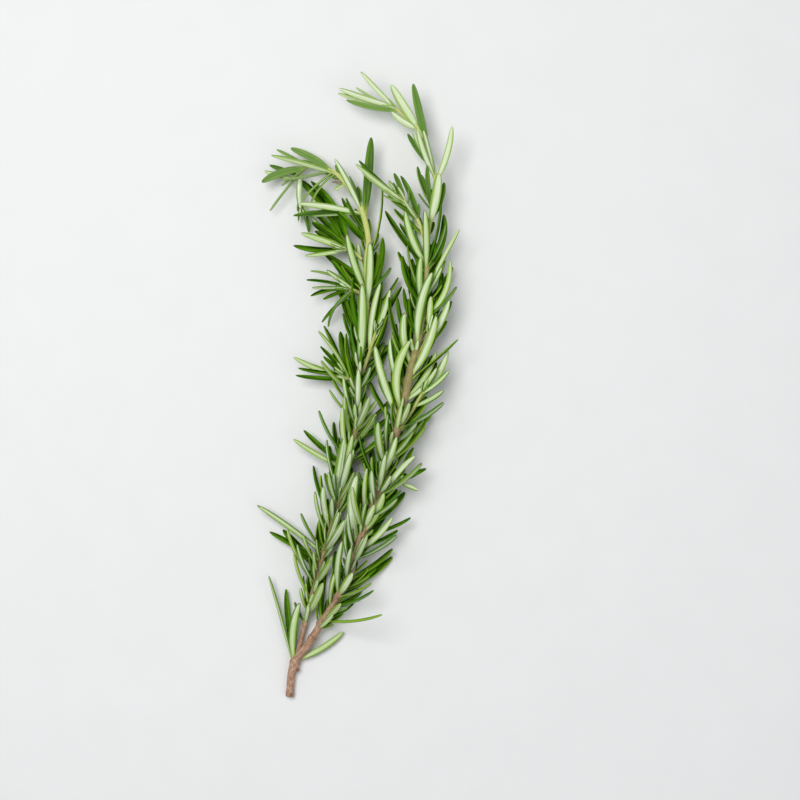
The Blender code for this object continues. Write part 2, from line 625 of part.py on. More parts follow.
def grow():
    """Every stem and leaf of the sprig."""
    main = route_of(MAIN_POINTS)
    left = route_of(LEFT_POINTS)
    thicket = Thicket()
    thicket.add_stem("woody_stem", part_of(main, 0.0, MAIN_FOOT))
    thicket.add_stem("main_branch", part_of(main, MAIN_FOOT + JOINT_GAP))
    thicket.add_stem("left_branch", part_of(left, LEFT_FOOT + JOINT_GAP))
    thicket.add_stem("main_side_shoot", route_of(MAIN_SHOOT_POINTS))
    thicket.add_stem("left_side_shoot", route_of(LEFT_SHOOT_POINTS))
    for name, (node, points) in TWIGS.items():
        thicket.add_stem(name, route_of(points), node)
    add_resting_leaves(thicket, "main_branch", MAIN_RESTS)
    add_resting_leaves(thicket, "left_branch", LEFT_RESTS)
    add_seen_leaves(thicket, "woody_stem", FOOT_LEAVES)
    add_seen_leaves(thicket, "main_branch", MAIN_LEAVES)
    add_seen_leaves(thicket, "main_low_twig", MAIN_LOW_TWIG_LEAVES)
    add_seen_leaves(thicket, "main_right_twig", MAIN_RIGHT_TWIG_LEAVES)
    add_seen_leaves(thicket, "main_outer_twig", MAIN_OUTER_TWIG_LEAVES)
    add_seen_leaves(thicket, "main_side_shoot", MAIN_SHOOT_LEAVES)
    add_seen_leaves(thicket, "left_branch", LEFT_LEAVES)
    add_seen_leaves(thicket, "left_side_shoot", LEFT_SHOOT_LEAVES)
    add_seen_leaves(thicket, "left_mid_twig", LEFT_MID_TWIG_LEAVES)
    add_seen_leaves(thicket, "left_low_twig", LEFT_LOW_TWIG_LEAVES)
    add_seen_leaves(thicket, "left_inner_twig", LEFT_INNER_TWIG_LEAVES)
    add_grown_leaves(thicket, "main_branch", 11, 6.0, 80.0, 35.0, (24.0, 19.0, 3.0), False)
    add_grown_leaves(thicket, "left_branch", 12, 8.0, 88.0, 80.0, (22.0, 18.0, 2.8), False)
    add_grown_leaves(thicket, "main_branch", 13, 92.0, 158.0, 60.0, (18.0, 15.0, 2.6), True)
    add_grown_leaves(thicket, "left_branch", 14, 98.0, 178.0, 70.0, (17.0, 13.0, 2.4), True)
    add_grown_leaves(thicket, "main_side_shoot", 15, 2.0, 14.0, 60.0, (13.0, 11.0, 2.0), True)
    add_grown_leaves(thicket, "left_side_shoot", 16, 2.0, 6.0, 20.0, (12.0, 10.0, 2.0), True)
    return thicket, left


def placed(points):
    """From the tables' millimetres to metres."""
    return np.asarray(points, float) * MM


def stem_object(name, route, group, material):
    """A round stem: a bevelled curve through the route, made a closed mesh."""
    along = lengths_along(route)
    count = max(2, round(along[-1] / STEM_STEP))
    marks = np.linspace(0.0, along[-1], count + 1)
    rows = np.array([[np.interp(mark, along, column) for column in route.T] for mark in marks])
    curve = bpy.data.curves.new(name + "_line", "CURVE")
    curve.dimensions = "3D"
    curve.bevel_depth = MM
    curve.bevel_resolution = 2
    curve.use_fill_caps = True
    spline = curve.splines.new("POLY")
    spline.points.add(len(rows) - 1)
    for point, row in zip(spline.points, rows):
        point.co = (*placed(row[:3]), 1.0)
        point.radius = row[3]
    guide = bpy.data.objects.new(name + "_guide", curve)
    group.objects.link(guide)
    bpy.context.view_layer.update()
    graph = bpy.context.evaluated_depsgraph_get()
    mesh = bpy.data.meshes.new_from_object(guide.evaluated_get(graph))
    mesh.transform(guide.matrix_world)
    bpy.data.objects.remove(guide, do_unlink=True)
    shape = bmesh.new()
    shape.from_mesh(mesh)
    bmesh.ops.remove_doubles(shape, verts=shape.verts, dist=0.00001)
    bmesh.ops.recalc_face_normals(shape, faces=shape.faces)
    shape.to_mesh(mesh)
    shape.free()
    mesh.materials.clear()
    mesh.materials.append(material)
    stem = bpy.data.objects.new(name, mesh)
    group.objects.link(stem)
    return stem


def leaf_object(name, leaf, group, material):
    """A leaf as a loft through four-sided rings to a pointed tip."""
    rings = LONG_RINGS if leaf.length > LONG_LEAF else LEAF_RINGS
    rings = SHORT_RINGS if leaf.length < SHORT_LEAF else rings
    middle, across, upper = leaf.frames(rings)
    reach = leaf.half_widths(rings)
    shape = bmesh.new()
    loft = []
    for centre, side, normal, half in zip(middle, across, upper, reach):
        side = side * half
        normal = normal * LEAF_THICKNESS / 2
        corners = (centre - side - normal, centre + side - normal)
        corners += (centre + side + normal, centre - side + normal)
        loft.append([shape.verts.new(corner) for corner in placed(corners)])
    point = shape.verts.new(placed(leaf.tip))
    shape.faces.new(loft[0])
    for ring, following in zip(loft, loft[1:]):
        for a in range(4):
            b = (a + 1) % 4
            shape.faces.new((ring[a], ring[b], following[b], following[a]))
    for a in range(4):
        shape.faces.new((loft[-1][a], loft[-1][(a + 1) % 4], point))
    bmesh.ops.recalc_face_normals(shape, faces=shape.faces)
    mesh = bpy.data.meshes.new(name)
    shape.to_mesh(mesh)
    shape.free()
    mesh.materials.append(material)
    blade = bpy.data.objects.new(name, mesh)
    group.objects.link(blade)
    return blade


def apply_boolean(solid, operation, solver, other=None, group=None):
    """Applies one Boolean with an object or with all the objects of a collection."""
    boolean = solid.modifiers.new(operation.lower(), "BOOLEAN")
    boolean.operation = operation
    boolean.solver = solver
    if group:
        boolean.operand_type = "COLLECTION"
        boolean.collection = group
    else:
        boolean.object = other
    bpy.context.view_layer.update()
    graph = bpy.context.evaluated_depsgraph_get()
    joined = bpy.data.meshes.new_from_object(solid.evaluated_get(graph))
    solid.modifiers.clear()
    solid.data = joined


def keep_main_body(solid):
    """Drops loose scraps, and the inner walls of hollows that fusing has sealed."""
    shape = bmesh.new()
    shape.from_mesh(solid.data)
    shape.verts.ensure_lookup_table()
    bodies = []
    waiting = set(shape.verts)
    while waiting:
        body = {waiting.pop()}
        edge_of_body = list(body)
        while edge_of_body:
            for edge in edge_of_body.pop().link_edges:
                for vert in edge.verts:
                    if vert in waiting:
                        waiting.remove(vert)
                        body.add(vert)
                        edge_of_body.append(vert)
        bodies.append(body)
    largest = max(bodies, key=len)
    loose = [vert for vert in shape.verts if vert not in largest]
    bmesh.ops.delete(shape, geom=loose, context="VERTS")
    shape.to_mesh(solid.data)
    shape.free()


def fused(name, stem, arms, leaves, material):
    """Makes a stem, its arms and its leaves one closed solid."""
    repeats = group_named(name + "_repeats")
    for number, route in enumerate(arms):
        stem_object(f"{name}_arm_{number}", route, repeats, material)
    for number, leaf in enumerate(leaves):
        leaf_object(f"{name}_leaf_{number}", leaf, repeats, material)
    apply_boolean(stem, "UNION", "MANIFOLD", group=repeats)
    for repeat in list(repeats.objects):
        bpy.data.objects.remove(repeat, do_unlink=True)
    bpy.data.collections.remove(repeats)
    keep_main_body(stem)


def surface_cutter(group):
    """A slab whose top is the surface, to cut what dips into it."""
    bpy.ops.mesh.primitive_cube_add(size=1.0, location=(0.0, 0.0, -0.01))
    slab = bpy.context.active_object
    slab.name = "surface_slab"
    slab.scale = (0.4, 0.5, 0.02)
    bpy.ops.object.transform_apply(location=True, rotation=False, scale=True)
    for holder in list(slab.users_collection):
        holder.objects.unlink(slab)
    group.objects.link(slab)
    slab.display_type = "WIRE"
    slab.hide_render = True
    return slab


def build():
    clear_scene()
    sprig = group_named("rosemary_sprig")
    cutters = group_named("cutters", hidden=True)
    bark = material_named("bark", (0.36, 0.23, 0.14), 0.75)
    green = material_named("leaf_green", (0.16, 0.27, 0.08), 0.5)
    slab = surface_cutter(cutters)
    thicket, left = grow()
    left_arm = part_of(left, 0.0, LEFT_FOOT)
    for name, leaves in thicket.leaves.items():
        material = bark if name == "woody_stem" else green
        stem = stem_object(name, thicket.stems[name], sprig, material)
        arms = [left_arm] if name == "woody_stem" else []
        arms += [thicket.stems[twig] for twig, (node, _) in TWIGS.items() if node == name]
        fused(name, stem, arms, leaves, material)
        apply_boolean(stem, "DIFFERENCE", "MANIFOLD", other=slab)
        keep_main_body(stem)
        print(name, len(leaves), "leaves")


build()
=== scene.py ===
"""The looks of the rosemary sprig, its light and its camera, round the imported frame.

The stems' routes, the leaf tables and the growth functions repeat those of the part's source, so
that each fine leaf lies where its solid is. They work in millimetres, and meshes are in metres.
"""

import math
import random

import bpy
import numpy as np
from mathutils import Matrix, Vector


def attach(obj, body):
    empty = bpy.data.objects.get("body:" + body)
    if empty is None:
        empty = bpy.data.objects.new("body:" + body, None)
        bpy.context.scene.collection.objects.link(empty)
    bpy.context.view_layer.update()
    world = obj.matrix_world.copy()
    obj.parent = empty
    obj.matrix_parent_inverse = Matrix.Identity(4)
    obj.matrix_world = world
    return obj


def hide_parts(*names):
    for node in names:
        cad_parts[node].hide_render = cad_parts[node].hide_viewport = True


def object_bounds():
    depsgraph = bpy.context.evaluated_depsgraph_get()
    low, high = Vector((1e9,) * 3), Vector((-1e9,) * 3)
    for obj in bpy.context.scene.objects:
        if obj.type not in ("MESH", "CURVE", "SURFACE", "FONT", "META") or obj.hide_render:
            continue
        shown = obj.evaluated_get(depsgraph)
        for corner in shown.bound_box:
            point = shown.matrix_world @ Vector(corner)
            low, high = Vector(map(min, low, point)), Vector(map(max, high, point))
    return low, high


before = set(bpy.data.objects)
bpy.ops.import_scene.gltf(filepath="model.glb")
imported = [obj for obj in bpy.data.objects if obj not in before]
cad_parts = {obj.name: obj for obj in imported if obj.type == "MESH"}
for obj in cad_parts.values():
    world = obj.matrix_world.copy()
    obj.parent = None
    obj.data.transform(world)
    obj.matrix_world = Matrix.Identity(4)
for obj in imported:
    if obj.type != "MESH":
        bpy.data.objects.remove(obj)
cad_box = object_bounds()

MM = 0.001
ROUTE_STEP = 1.0
JOINT_GAP = 0.3
LEAF_THICKNESS = 0.9
ROOT_DEPTH = 0.5
TIP_CLEARANCE = 0.1
# How a leaf that would touch the surface is lifted, try by try, at its tip and at its middle.
LIFT_TRIES = 30
TIP_LIFT = 0.4
BEND_LIFT = 0.25
# How far a leaf arches out from its stem and sags back along it, as shares of its length.
SEEN_ARCH = 0.06
GROWN_ARCH = 0.1
GROWN_SAG = 0.04
# A row of a route this close to a cut is dropped.
CUT_GAP = 0.2
# Where the bare foot ends, as a distance from the cut end along each branch.
MAIN_FOOT = 24.0
LEFT_FOOT = 21.0

# Each stem as points (x, y, height, radius), from its foot to its tip.
MAIN_POINTS = (
    (-24.5, -110, 1.3, 1.4),
    (-22.9, -98.7, 2.5, 1.45),
    (-16.2, -88.8, 4.6, 1.35),
    (-4.4, -69, 7.8, 1.3),
    (-0.4, -56.5, 9.4, 1.35),
    (6.3, -40.3, 10.6, 1.4),
    (9.5, -28, 11.3, 1.45),
    (13.3, -17, 11.8, 1.5),
    (17.9, 3.2, 12.5, 1.5),
    (21.7, 19.3, 13, 1.3),
    (23.8, 38.5, 13.2, 1),
    (24.1, 49, 13.2, 0.75),
    (26.3, 65, 13, 0.7),
    (27, 73, 12.8, 0.65),
    (25.2, 81, 12.6, 0.6),
    (21.8, 89, 12.5, 0.55),
    (17.2, 93.5, 12.4, 0.5),
    (12.6, 97.7, 12.2, 0.4),
)
LEFT_POINTS = (
    (-24.5, -110, 1.3, 1.4),
    (-22.9, -98.7, 2.4, 1),
    (-20.6, -90.5, 2.6, 0.85),
    (-14, -65.1, 4.4, 0.85),
    (-9.1, -48.3, 5.6, 0.95),
    (-4.6, -30.5, 6.3, 1),
    (-1.7, -19.3, 6.7, 1),
    (-0.3, -10.8, 7, 1.05),
    (0.1, 2.8, 7.3, 0.95),
    (2.4, 17.8, 7.6, 0.9),
    (3.1, 29, 7.8, 0.9),
    (2.8, 43.4, 7.8, 0.9),
    (3.6, 51.1, 7.8, 0.95),
    (1.4, 61.6, 7.8, 1),
    (-2.1, 67.9, 7.8, 0.85),
    (-7, 74.2, 7.7, 0.75),
    (-11.6, 76.5, 7.4, 0.6),
    (-16.8, 77.8, 6.9, 0.5),
    (-20.8, 74.2, 5.9, 0.45),
    (-21.4, 68.6, 5, 0.42),
    (-20.4, 63.6, 4.2, 0.4),
)
MAIN_SHOOT_POINTS = (
    (23.3, 51.2, 14.4, 0.6),
    (20.8, 58, 16.3, 0.6),
    (16.3, 64.2, 17, 0.5),
    (13.6, 66.6, 17.2, 0.35),
)
LEFT_SHOOT_POINTS = (
    (1.4, 44.5, 8.3, 0.55),
    (-2.1, 47.6, 9, 0.5),
    (-5.2, 48.4, 9.2, 0.35),
)

# Short twigs that are fused to a node, as the node's name and the twig's points.
TWIGS = {
    "left_mid_twig": (
        "left_branch",
        ((2.9, 29, 7.9, 0.55), (0.6, 32.6, 8.6, 0.5), (-3.6, 34.8, 9.2, 0.35)),
    ),
    "left_low_twig": (
        "left_branch",
        ((-0.2, -3.5, 7.2, 0.6), (-1.8, 0.8, 7.8, 0.55), (-4.8, 4.1, 8.2, 0.4)),
    ),
    "left_inner_twig": (
        "left_branch",
        ((0.1, 1, 7.4, 0.65), (2.9, 8.4, 8.8, 0.6), (5, 15.2, 9.7, 0.5), (6.2, 19.5, 10.1, 0.35)),
    ),
    "main_low_twig": (
        "main_branch",
        ((6.8, -39.5, 10.8, 0.7), (11.2, -35.6, 11.6, 0.55), (14.6, -33.4, 11.8, 0.35)),
    ),
    "main_right_twig": (
        "main_branch",
        ((20.1, 9, 12.9, 0.6), (23, 14.5, 14, 0.55), (24.8, 19.5, 14.6, 0.35)),
    ),
    "main_outer_twig": (
        "main_branch",
        ((13.6, -16, 11.9, 0.7), (18.5, -9.5, 12.6, 0.6), (22.6, -2, 13.2, 0.4)),
    ),
}

# Leaves that show well enough to be placed one by one. A row holds the x and y where the leaf
# leaves its stem, the x and y of its tip, how far the tip is above the foot, its width, its turn
# in degrees (0 shows the dark upper face from above, 180 the pale underside) and how far its
# middle bows to the left of its direction.
FOOT_LEAVES = (
    (-22.9, -98, -31.7, -67, 1.5, 1.8, 120, -2),
    (-22.7, -96.5, -20.6, -76.3, 4, 3, 180, 1.5),
    (-22.4, -95.5, -25.6, -71.8, 0.5, 2.2, 0, 0.5),
    (-21.6, -96.5, -5.3, -87, -1, 2.4, 165, -1),
)
MAIN_LEAVES = (
    (12.6, 97.5, 1, 109.7, 2, 1.8, 160, 0.8),
    (21, 89.6, 11.5, 105, 3.5, 3.1, 180, 1),
    (12.6, 97.6, -6.7, 104, 1, 2.2, 150, -0.5),
    (13, 97.4, -7.2, 102.8, -0.6, 1.8, 130, -0.5),
    (13.5, 97, -0.7, 104.6, 0.2, 1.5, 100, 0),
    (14.5, 96, -4.2, 100.3, -2.5, 1.8, 0, 0.5),
    (20.6, 89.8, 11.8, 96, -0.5, 2.4, 160, 0.5),
    (23.4, 86, 17.2, 97.9, 1.2, 1.9, 150, 0),
    (24.2, 84, 19.3, 106, -1.5, 2.9, 10, 1.5),
    (26, 76, 17.3, 88.4, -1, 2, 0, 0),
    (26.4, 76.5, 19.3, 88.7, 3, 2, 180, 0.5),
    (27, 72.8, 20.7, 89, 5.2, 2, 170, 0.5),
    (27.2, 72.5, 22.9, 89.3, 4.2, 2.2, 150, -1.2),
    (27, 71.5, 32.9, 90.7, 1.5, 2.3, 170, -1),
    (26, 57, 28.2, 74, 5, 3.4, 180, -0.8),
    (26, 63, 20.8, 76.7, 1, 2, 40, 0.5),
    (25.5, 61, 24.2, 77, 2.8, 1.8, 20, 0),
    (26, 58.5, 30.2, 71.4, -2, 2.4, 0, -0.8),
    (25.8, 61.8, 21.2, 67.2, 1.5, 1.5, 90, 0),
    (24, 43, 16.5, 60.6, 5, 2.9, 180, 1.5),
    (23.8, 42, 9.5, 61.3, 0, 2.1, 20, 0),
    (23.8, 45, 14.5, 57.1, -1.5, 1.7, 0, 0),
    (23.9, 47, 19.6, 61.4, -3, 2.9, 165, 0),
    (24.2, 41, 23.3, 61.3, 4.6, 2.5, 175, -1),
    (24.2, 42.5, 29.1, 64.8, 2, 1.8, 80, -0.8),
    (24.2, 41, 30, 60.2, -2, 2.7, 0, -3),
    (24, 32.5, 35.5, 54.8, 1, 1.7, 140, 1.8),
    (23, 23.5, 32.2, 43.9, 2, 2.1, 165, -4.5),
    (24, 31, 29.4, 41.5, 1.5, 1.4, 150, 0),
    (21.6, 17.5, 29.4, 40, -2.5, 3, 15, -3),
    (22.2, 24.5, 19.2, 44.6, -1.5, 3, 0, 2),
    (23.5, 29, 22, 45, 3.5, 2.6, 180, 1),
    (23, 29, 15.6, 45.5, -1, 2.3, 0, 2),
    (20.9, 15.5, 25.9, 39.4, 5.5, 3.3, 180, 3.2),
    (18.6, 4, 27.3, 24.3, 4.5, 2.8, 180, -1.5),
    (18.3, 2.5, 35, 16.3, 2.5, 2, 70, 0.5),
    (18.8, 8, 16.3, 25.6, 4, 2.8, 180, 2),
    (15.2, -8, 18.2, 15.8, 5, 3, 170, 5.5),
    (20.5, 17, 17.6, 30.5, 1.5, 1.7, 20, 1.2),
    (21, 18, 16, 34.3, 0, 1.7, 0, 1),
    (19.3, 8, 10.9, 31.2, 0, 2.1, 50, 2),
    (18, 0.5, 14, 17.8, -1.5, 2.7, 0, 1.5),
    (17, -3, 11.2, 16.5, 1, 2, 150, 1.5),
    (17, -3.5, 27.3, 12.2, 1, 2.1, 165, -2),
    (16.5, -5, 27.7, 6.5, 2.5, 2.1, 170, -1.5),
    (19, 6, 28, 21, -3, 2.1, 0, -1),
    (14.5, -10.5, 5.9, 14.3, 0.5, 2.9, 170, 0.5),
    (16, -4, 13.3, 22, -2, 3, 0, 1),
    (19.5, 12, 13.7, 31.2, -1, 1.8, 0, 1),
    (20, 10, 18.2, 27.3, -2.5, 2.2, 0, 0.8),
    (0, -55, -0.2, -31, 4.8, 3.6, 180, 2.5),
    (3, -51, 9.1, -37.4, 3.5, 2.8, 175, -1),
    (-1, -58, 12.1, -46, 2.5, 2.3, 170, -1),
)
MAIN_LOW_TWIG_LEAVES = (
    (13.5, -34, 20.3, -31.2, 0.5, 1.6, 60, 0.3),
    (10, -36.5, 20, -24.5, 1.5, 2.2, 170, 0.8),
    (12.5, -34.6, 24, -29, -0.5, 2, 15, 0.8),
    (14.4, -33.5, 21, -36.5, 0.5, 1.7, 150, 0),
    (14.4, -33.5, 19.5, -21.5, -1.2, 1.7, 0, 0.5),
)
MAIN_RIGHT_TWIG_LEAVES = (
    (22, 12.5, 31.9, 29.9, 1.5, 2.6, 160, -2),
    (24.5, 18.5, 32.8, 29.9, -2, 1.8, 0, -1.5),
    (22, 12.5, 31.2, 22.9, -1.5, 2.1, 20, -0.5),
    (24.7, 19, 25.5, 31.2, 1.5, 2.2, 180, -0.5),
)
MAIN_OUTER_TWIG_LEAVES = (
    (21.5, -4, 31.5, 12.6, 1.5, 2.2, 170, -2.5),
    (22.3, -2.5, 32, 5.6, 0.5, 1.8, 160, -0.5),
    (21, -5, 30.3, 9.5, -1.5, 2.2, 0, -1),
    (19, -8.5, 27.6, 8.5, -2.5, 2.4, 0, -1.5),
    (20, -7.5, 30, -1.5, -0.5, 2, 165, -0.5),
)
MAIN_SHOOT_LEAVES = (
    (16.5, 63.5, 0.4, 78.4, 0.5, 2, 10, 0.3),
    (16, 64, -0.6, 76.8, 1.5, 2.1, 140, -0.5),
    (17.9, 62.4, 1.6, 74.5, 0.5, 2.1, 170, -1),
    (16, 64.5, 12.6, 73.9, 1.5, 1.8, 10, 0),
    (21, 57, 14.9, 73.2, 2.5, 2, 15, -1.5),
    (19.5, 59.8, 10.5, 66.9, -2.5, 2.2, 0, 0),
)
LEFT_LEAVES = (
    (1.8, 60, 4.6, 87.5, 1, 3.2, 5, 1.5),
    (1.7, 61.5, -3.1, 73.9, 0.5, 1.5, 70, -1.2),
    (1.4, 62, -8.2, 79.6, 2, 2, 165, -1.4),
    (-5, 71.5, -8.5, 68.8, 1.5, 1.4, 150, 0),
    (-9.8, 75.5, -23.8, 83.7, 0.5, 2.8, 10, -0.5),
    (-8, 74.5, -30.5, 80.9, 2.8, 2.2, 135, -2),
    (-18, 77.5, -28.9, 83.6, -2, 1.5, 60, 0),
    (-18.5, 77.5, -34, 71.8, 0.5, 3, 20, -1.4),
    (-20.5, 74.3, -31.5, 78.2, -2.5, 1.7, 0, 0),
    (-21, 72, -33.3, 76, -1, 1.6, 170, 0),
    (-19.5, 76.5, -31.3, 61.8, -1.6, 1.5, 96, -1.4),
    (-18, 77, -27, 70.5, 2, 1.5, 90, 0),
    (-10, 75.5, -27, 72.3, 3.1, 1.8, 102, 0.1),
    (-9, 75.3, -19.6, 65.1, 2.5, 1.6, 95, -1.5),
    (-8, 74.6, -16.6, 63.7, 3.6, 1.6, 75, -2.4),
    (-20.3, 63.6, -17.5, 54.3, -0.5, 1.9, 30, 1),
    (-20.6, 75, -20.4, 62.5, 1, 2.2, 175, -1.6),
    (1.4, 61, -20.7, 63.7, 3.8, 2.3, 175, -1.6),
    (1.4, 60.5, -22.8, 59.9, 1, 2, 15, -2),
    (1.2, 61, -16.1, 59.5, 4.5, 1.1, 120, -0.5),
    (2.2, 55, -5.8, 66.4, -0.5, 1.6, 0, 0.8),
    (2.2, 54, -4.2, 66, 1.8, 1.5, 40, 0.5),
    (3.5, 50.5, -7.4, 61.2, 2.4, 2.6, 10, -1),
    (2.9, 33.5, -4, 53.2, 4.5, 2.6, 180, 0.6),
    (3, 36, 0, 50.5, -1.5, 2.2, 180, 0.3),
    (3.1, 29, 4.2, 50.4, 5, 2.9, 180, -0.5),
    (3.1, 31, 8.6, 52.2, 0.5, 2.6, 5, -1.5),
    (2.9, 44, 8.4, 71.4, 1.5, 1.7, 85, -2),
    (0.6, 7, 1.4, 35.9, 5.4, 3.3, 176, -2.2),
    (2, 16, -1.8, 38.2, 1.5, 2.2, 70, 1),
    (1, 14, -6, 34.7, -1.5, 2.8, 5, 0.5),
    (1.3, 16, -2.8, 32.2, 0.5, 1.7, 60, 0.3),
    (-0.2, -6, 1.2, 19, 2, 2, 60, 0),
    (0.2, 0.5, -6.3, 19.3, -0.5, 2.8, 0, 0.8),
    (0.2, -0.5, -4.2, 18.6, 2, 1.9, 30, 0.8),
    (0.2, -1, 9.1, 13.7, 0.5, 1.9, 60, -0.5),
    (-7.6, -43.5, -4.6, -17.5, 4, 3.5, 180, -0.5),
    (-4.6, -29.5, -22.9, -18.6, 1.5, 2, 150, 0.5),
    (-4.4, -28, -19.3, -15.5, -0.5, 1.9, 10, 0.5),
    (-9.8, -50.5, -12.2, -35.1, 3, 2.4, 175, 1),
    (-12.2, -58.5, -35.7, -42, 1.5, 2.1, 150, -1.5),
    (-13.4, -62, -31.5, -51.5, -0.8, 2, 10, -0.5),
)
LEFT_MID_TWIG_LEAVES = (
    (-1.5, 34, -9.5, 44.5, -1.5, 1.9, 0, 0),
    (-2.1, 34.3, -16.8, 40.4, 1, 1.5, 100, -3.5),
    (-1.4, 34, -11, 40.6, 0.5, 2, 150, 0.5),
    (-3.5, 34.8, -18.2, 37.3, 0, 1.7, 60, -2),
    (-3.5, 34.8, -16.1, 34.5, 1.2, 1.5, 120, -0.5),
    (-3, 34.6, -16.8, 31.7, -1, 1.6, 0, -2.5),
    (-2.5, 34.5, -12.3, 30.4, 0, 1.4, 20, -0.8),
    (-1.4, 34, -10.5, 20.7, 1, 2, 110, -4),
    (-1, 33.8, -12.9, 22.4, -1, 1.4, 40, -2),
)
LEFT_LOW_TWIG_LEAVES = (
    (-3.5, 3, -22.8, 10.2, 1.5, 2, 170, 0.5),
    (-4.2, 3.6, -18.9, 8.2, 0.8, 2.1, 165, 0),
    (-4.5, 3.9, -21, 6.3, -0.3, 1.4, 20, 0),
    (-3, 2.4, -22.1, 3.8, -1.8, 1.6, 0, 0),
    (-3.5, 3, -14, 19.3, 1.6, 2.2, 110, -1),
    (-4, 3.4, -12.3, 21.5, 0, 1.6, 40, 0),
    (-3, 2.6, -13.3, 14, 0.9, 1.6, 30, 0),
    (-4.6, 4, -12.3, 10.5, -1.2, 1.6, 0, 0),
)
LEFT_INNER_TWIG_LEAVES = (
    (4.2, 12.5, 7.9, 36.1, 1, 2.4, 150, 0.8),
    (4.8, 14.5, 11.2, 33.8, 1.5, 2.3, 165, -0.5),
    (5.5, 17.5, 15.4, 35.2, -1, 1.9, 10, 1.5),
    (2.8, 8.4, 10.5, 25, 0.8, 1.8, 40, -0.8),
    (3, 9, 8.7, 22, -3, 2, 0, -1),
    (6, 18.5, 8.2, 38.9, -1.5, 1.7, 0, -1.2),
)
LEFT_SHOOT_LEAVES = (
    (-4.6, 48.3, -20, 53.6, 1.5, 2.4, 170, 0.5),
    (-4.6, 48.2, -22.8, 49.4, -0.5, 2.2, 10, 1),
    (-3.6, 48, -18.6, 45.6, 1, 1.6, 165, -0.5),
    (-3.6, 48.2, -16.3, 57.6, -1, 3, 0, 0),
    (-3.2, 48.4, -17, 72.6, -6.5, 2.6, 0, -4),
    (-4.2, 48.6, -21.5, 73.6, -7.2, 3.2, 10, -3.5),
    (-4.6, 48.3, -15.4, 54.8, -2.5, 2, 0, 0.5),
    (-3.8, 48.6, -16.6, 62, -3, 2, 0, -1),
    (-3.6, 48.4, -17.4, 61, -3.5, 1.2, 150, 2.5),
)
# Leaves that bend down and carry the sprig: foot x and y, tip x and y, and width.
MAIN_RESTS = (
    (21.6, 19, 30.6, 33, 2.8),
    (5.6, -42, 17, -31, 2.8),
)
LEFT_RESTS = (
    (2.9, 36, -12, 47, 2.8),
    (-14, -65, -27, -51, 2.8),
)
# How far under the surface such a leaf's curve is drawn, from a stem at this height.
REST_DIP = 2.0
REST_STEM_HEIGHT = 10
REST_HEIGHT = 0.3

# What grows on each stem or twig, in the order in which the leaves find room.
RESTING_LEAVES = (("main_branch", MAIN_RESTS), ("left_branch", LEFT_RESTS))
SEEN_LEAVES = (
    ("woody_stem", FOOT_LEAVES),
    ("main_branch", MAIN_LEAVES),
    ("main_low_twig", MAIN_LOW_TWIG_LEAVES),
    ("main_right_twig", MAIN_RIGHT_TWIG_LEAVES),
    ("main_outer_twig", MAIN_OUTER_TWIG_LEAVES),
    ("main_side_shoot", MAIN_SHOOT_LEAVES),
    ("left_branch", LEFT_LEAVES),
    ("left_side_shoot", LEFT_SHOOT_LEAVES),
    ("left_mid_twig", LEFT_MID_TWIG_LEAVES),
    ("left_low_twig", LEFT_LOW_TWIG_LEAVES),
    ("left_inner_twig", LEFT_INNER_TWIG_LEAVES),
)
# The leaves of the growth rule: node, seed, first and last distance from the stem's foot, first
# turn, (length at first, length at last, width), and whether only those underneath are grown.
GROWN_LEAVES = (
    ("main_branch", 11, 6, 80, 35, (24, 19, 3), False),
    ("left_branch", 12, 8, 88, 80, (22, 18, 2.8), False),
    ("main_branch", 13, 92, 158, 60, (18, 15, 2.6), True),
    ("left_branch", 14, 98, 178, 70, (17, 13, 2.4), True),
    ("main_side_shoot", 15, 2, 14, 60, (13, 11, 2), True),
    ("left_side_shoot", 16, 2, 6, 20, (12, 10, 2), True),
)

# Growth of the leaves that the rule places: opposite pairs, each pair a quarter turn on.
PAIR_GAP = 11.5
QUARTER_TURN = 90.0
TURN_DRIFT = 7.0
SPREAD = (34.0, 52.0)
TUFT_SPREAD = (20.0, 34.0)
TUFT_SIZE = (0.35, 0.55)
TUFT_RAISE = 1.2
TUFT_SWING = 34.0
UNDER_LIMIT = -0.6
SPOT_DRIFT = 0.8
LENGTH_DRIFT = (0.92, 1.08)
# A small leaf's width, as a share of a full-size one's: at no length, and gained at full length.
WIDTH_BASE = 0.55
WIDTH_GAIN = 0.45
AZIMUTH_TRIES = (0, 14, -14, 28, -28, 42, -42)
HEIGHT_TRIES = (0, 1, -1, 2, -2, 3, -3, 4, -4, 5)
HEIGHT_SHIFT = 1.1

# Room kept between the middles of thin leaves: of another node, and of the same node.
FAR_ROOM = 1.75
OWN_ROOM = 1.0
# A stem's gap is measured from its skin, so it counts as this much wider than a leaf's.
STEM_ALLOWANCE = 1.0
TEST_STATIONS = np.linspace(0.06, 1.0, 15)
TEST_ACROSS = np.array((-0.45, 0.0, 0.45))
ALL_STATIONS = slice(None)
FREE_STATIONS = TEST_STATIONS > 0.35
NEAR_ENOUGH = 4.0

# Width along a leaf, as shares of its length and of its greatest width.
WIDTH_AT = (0.0, 0.1, 0.25, 0.55, 0.84, 0.95, 1.0)
WIDTH_IS = (0.5, 0.58, 0.92, 1.0, 0.87, 0.5, 0.1)


def unit(vector):
    return vector / np.linalg.norm(vector)


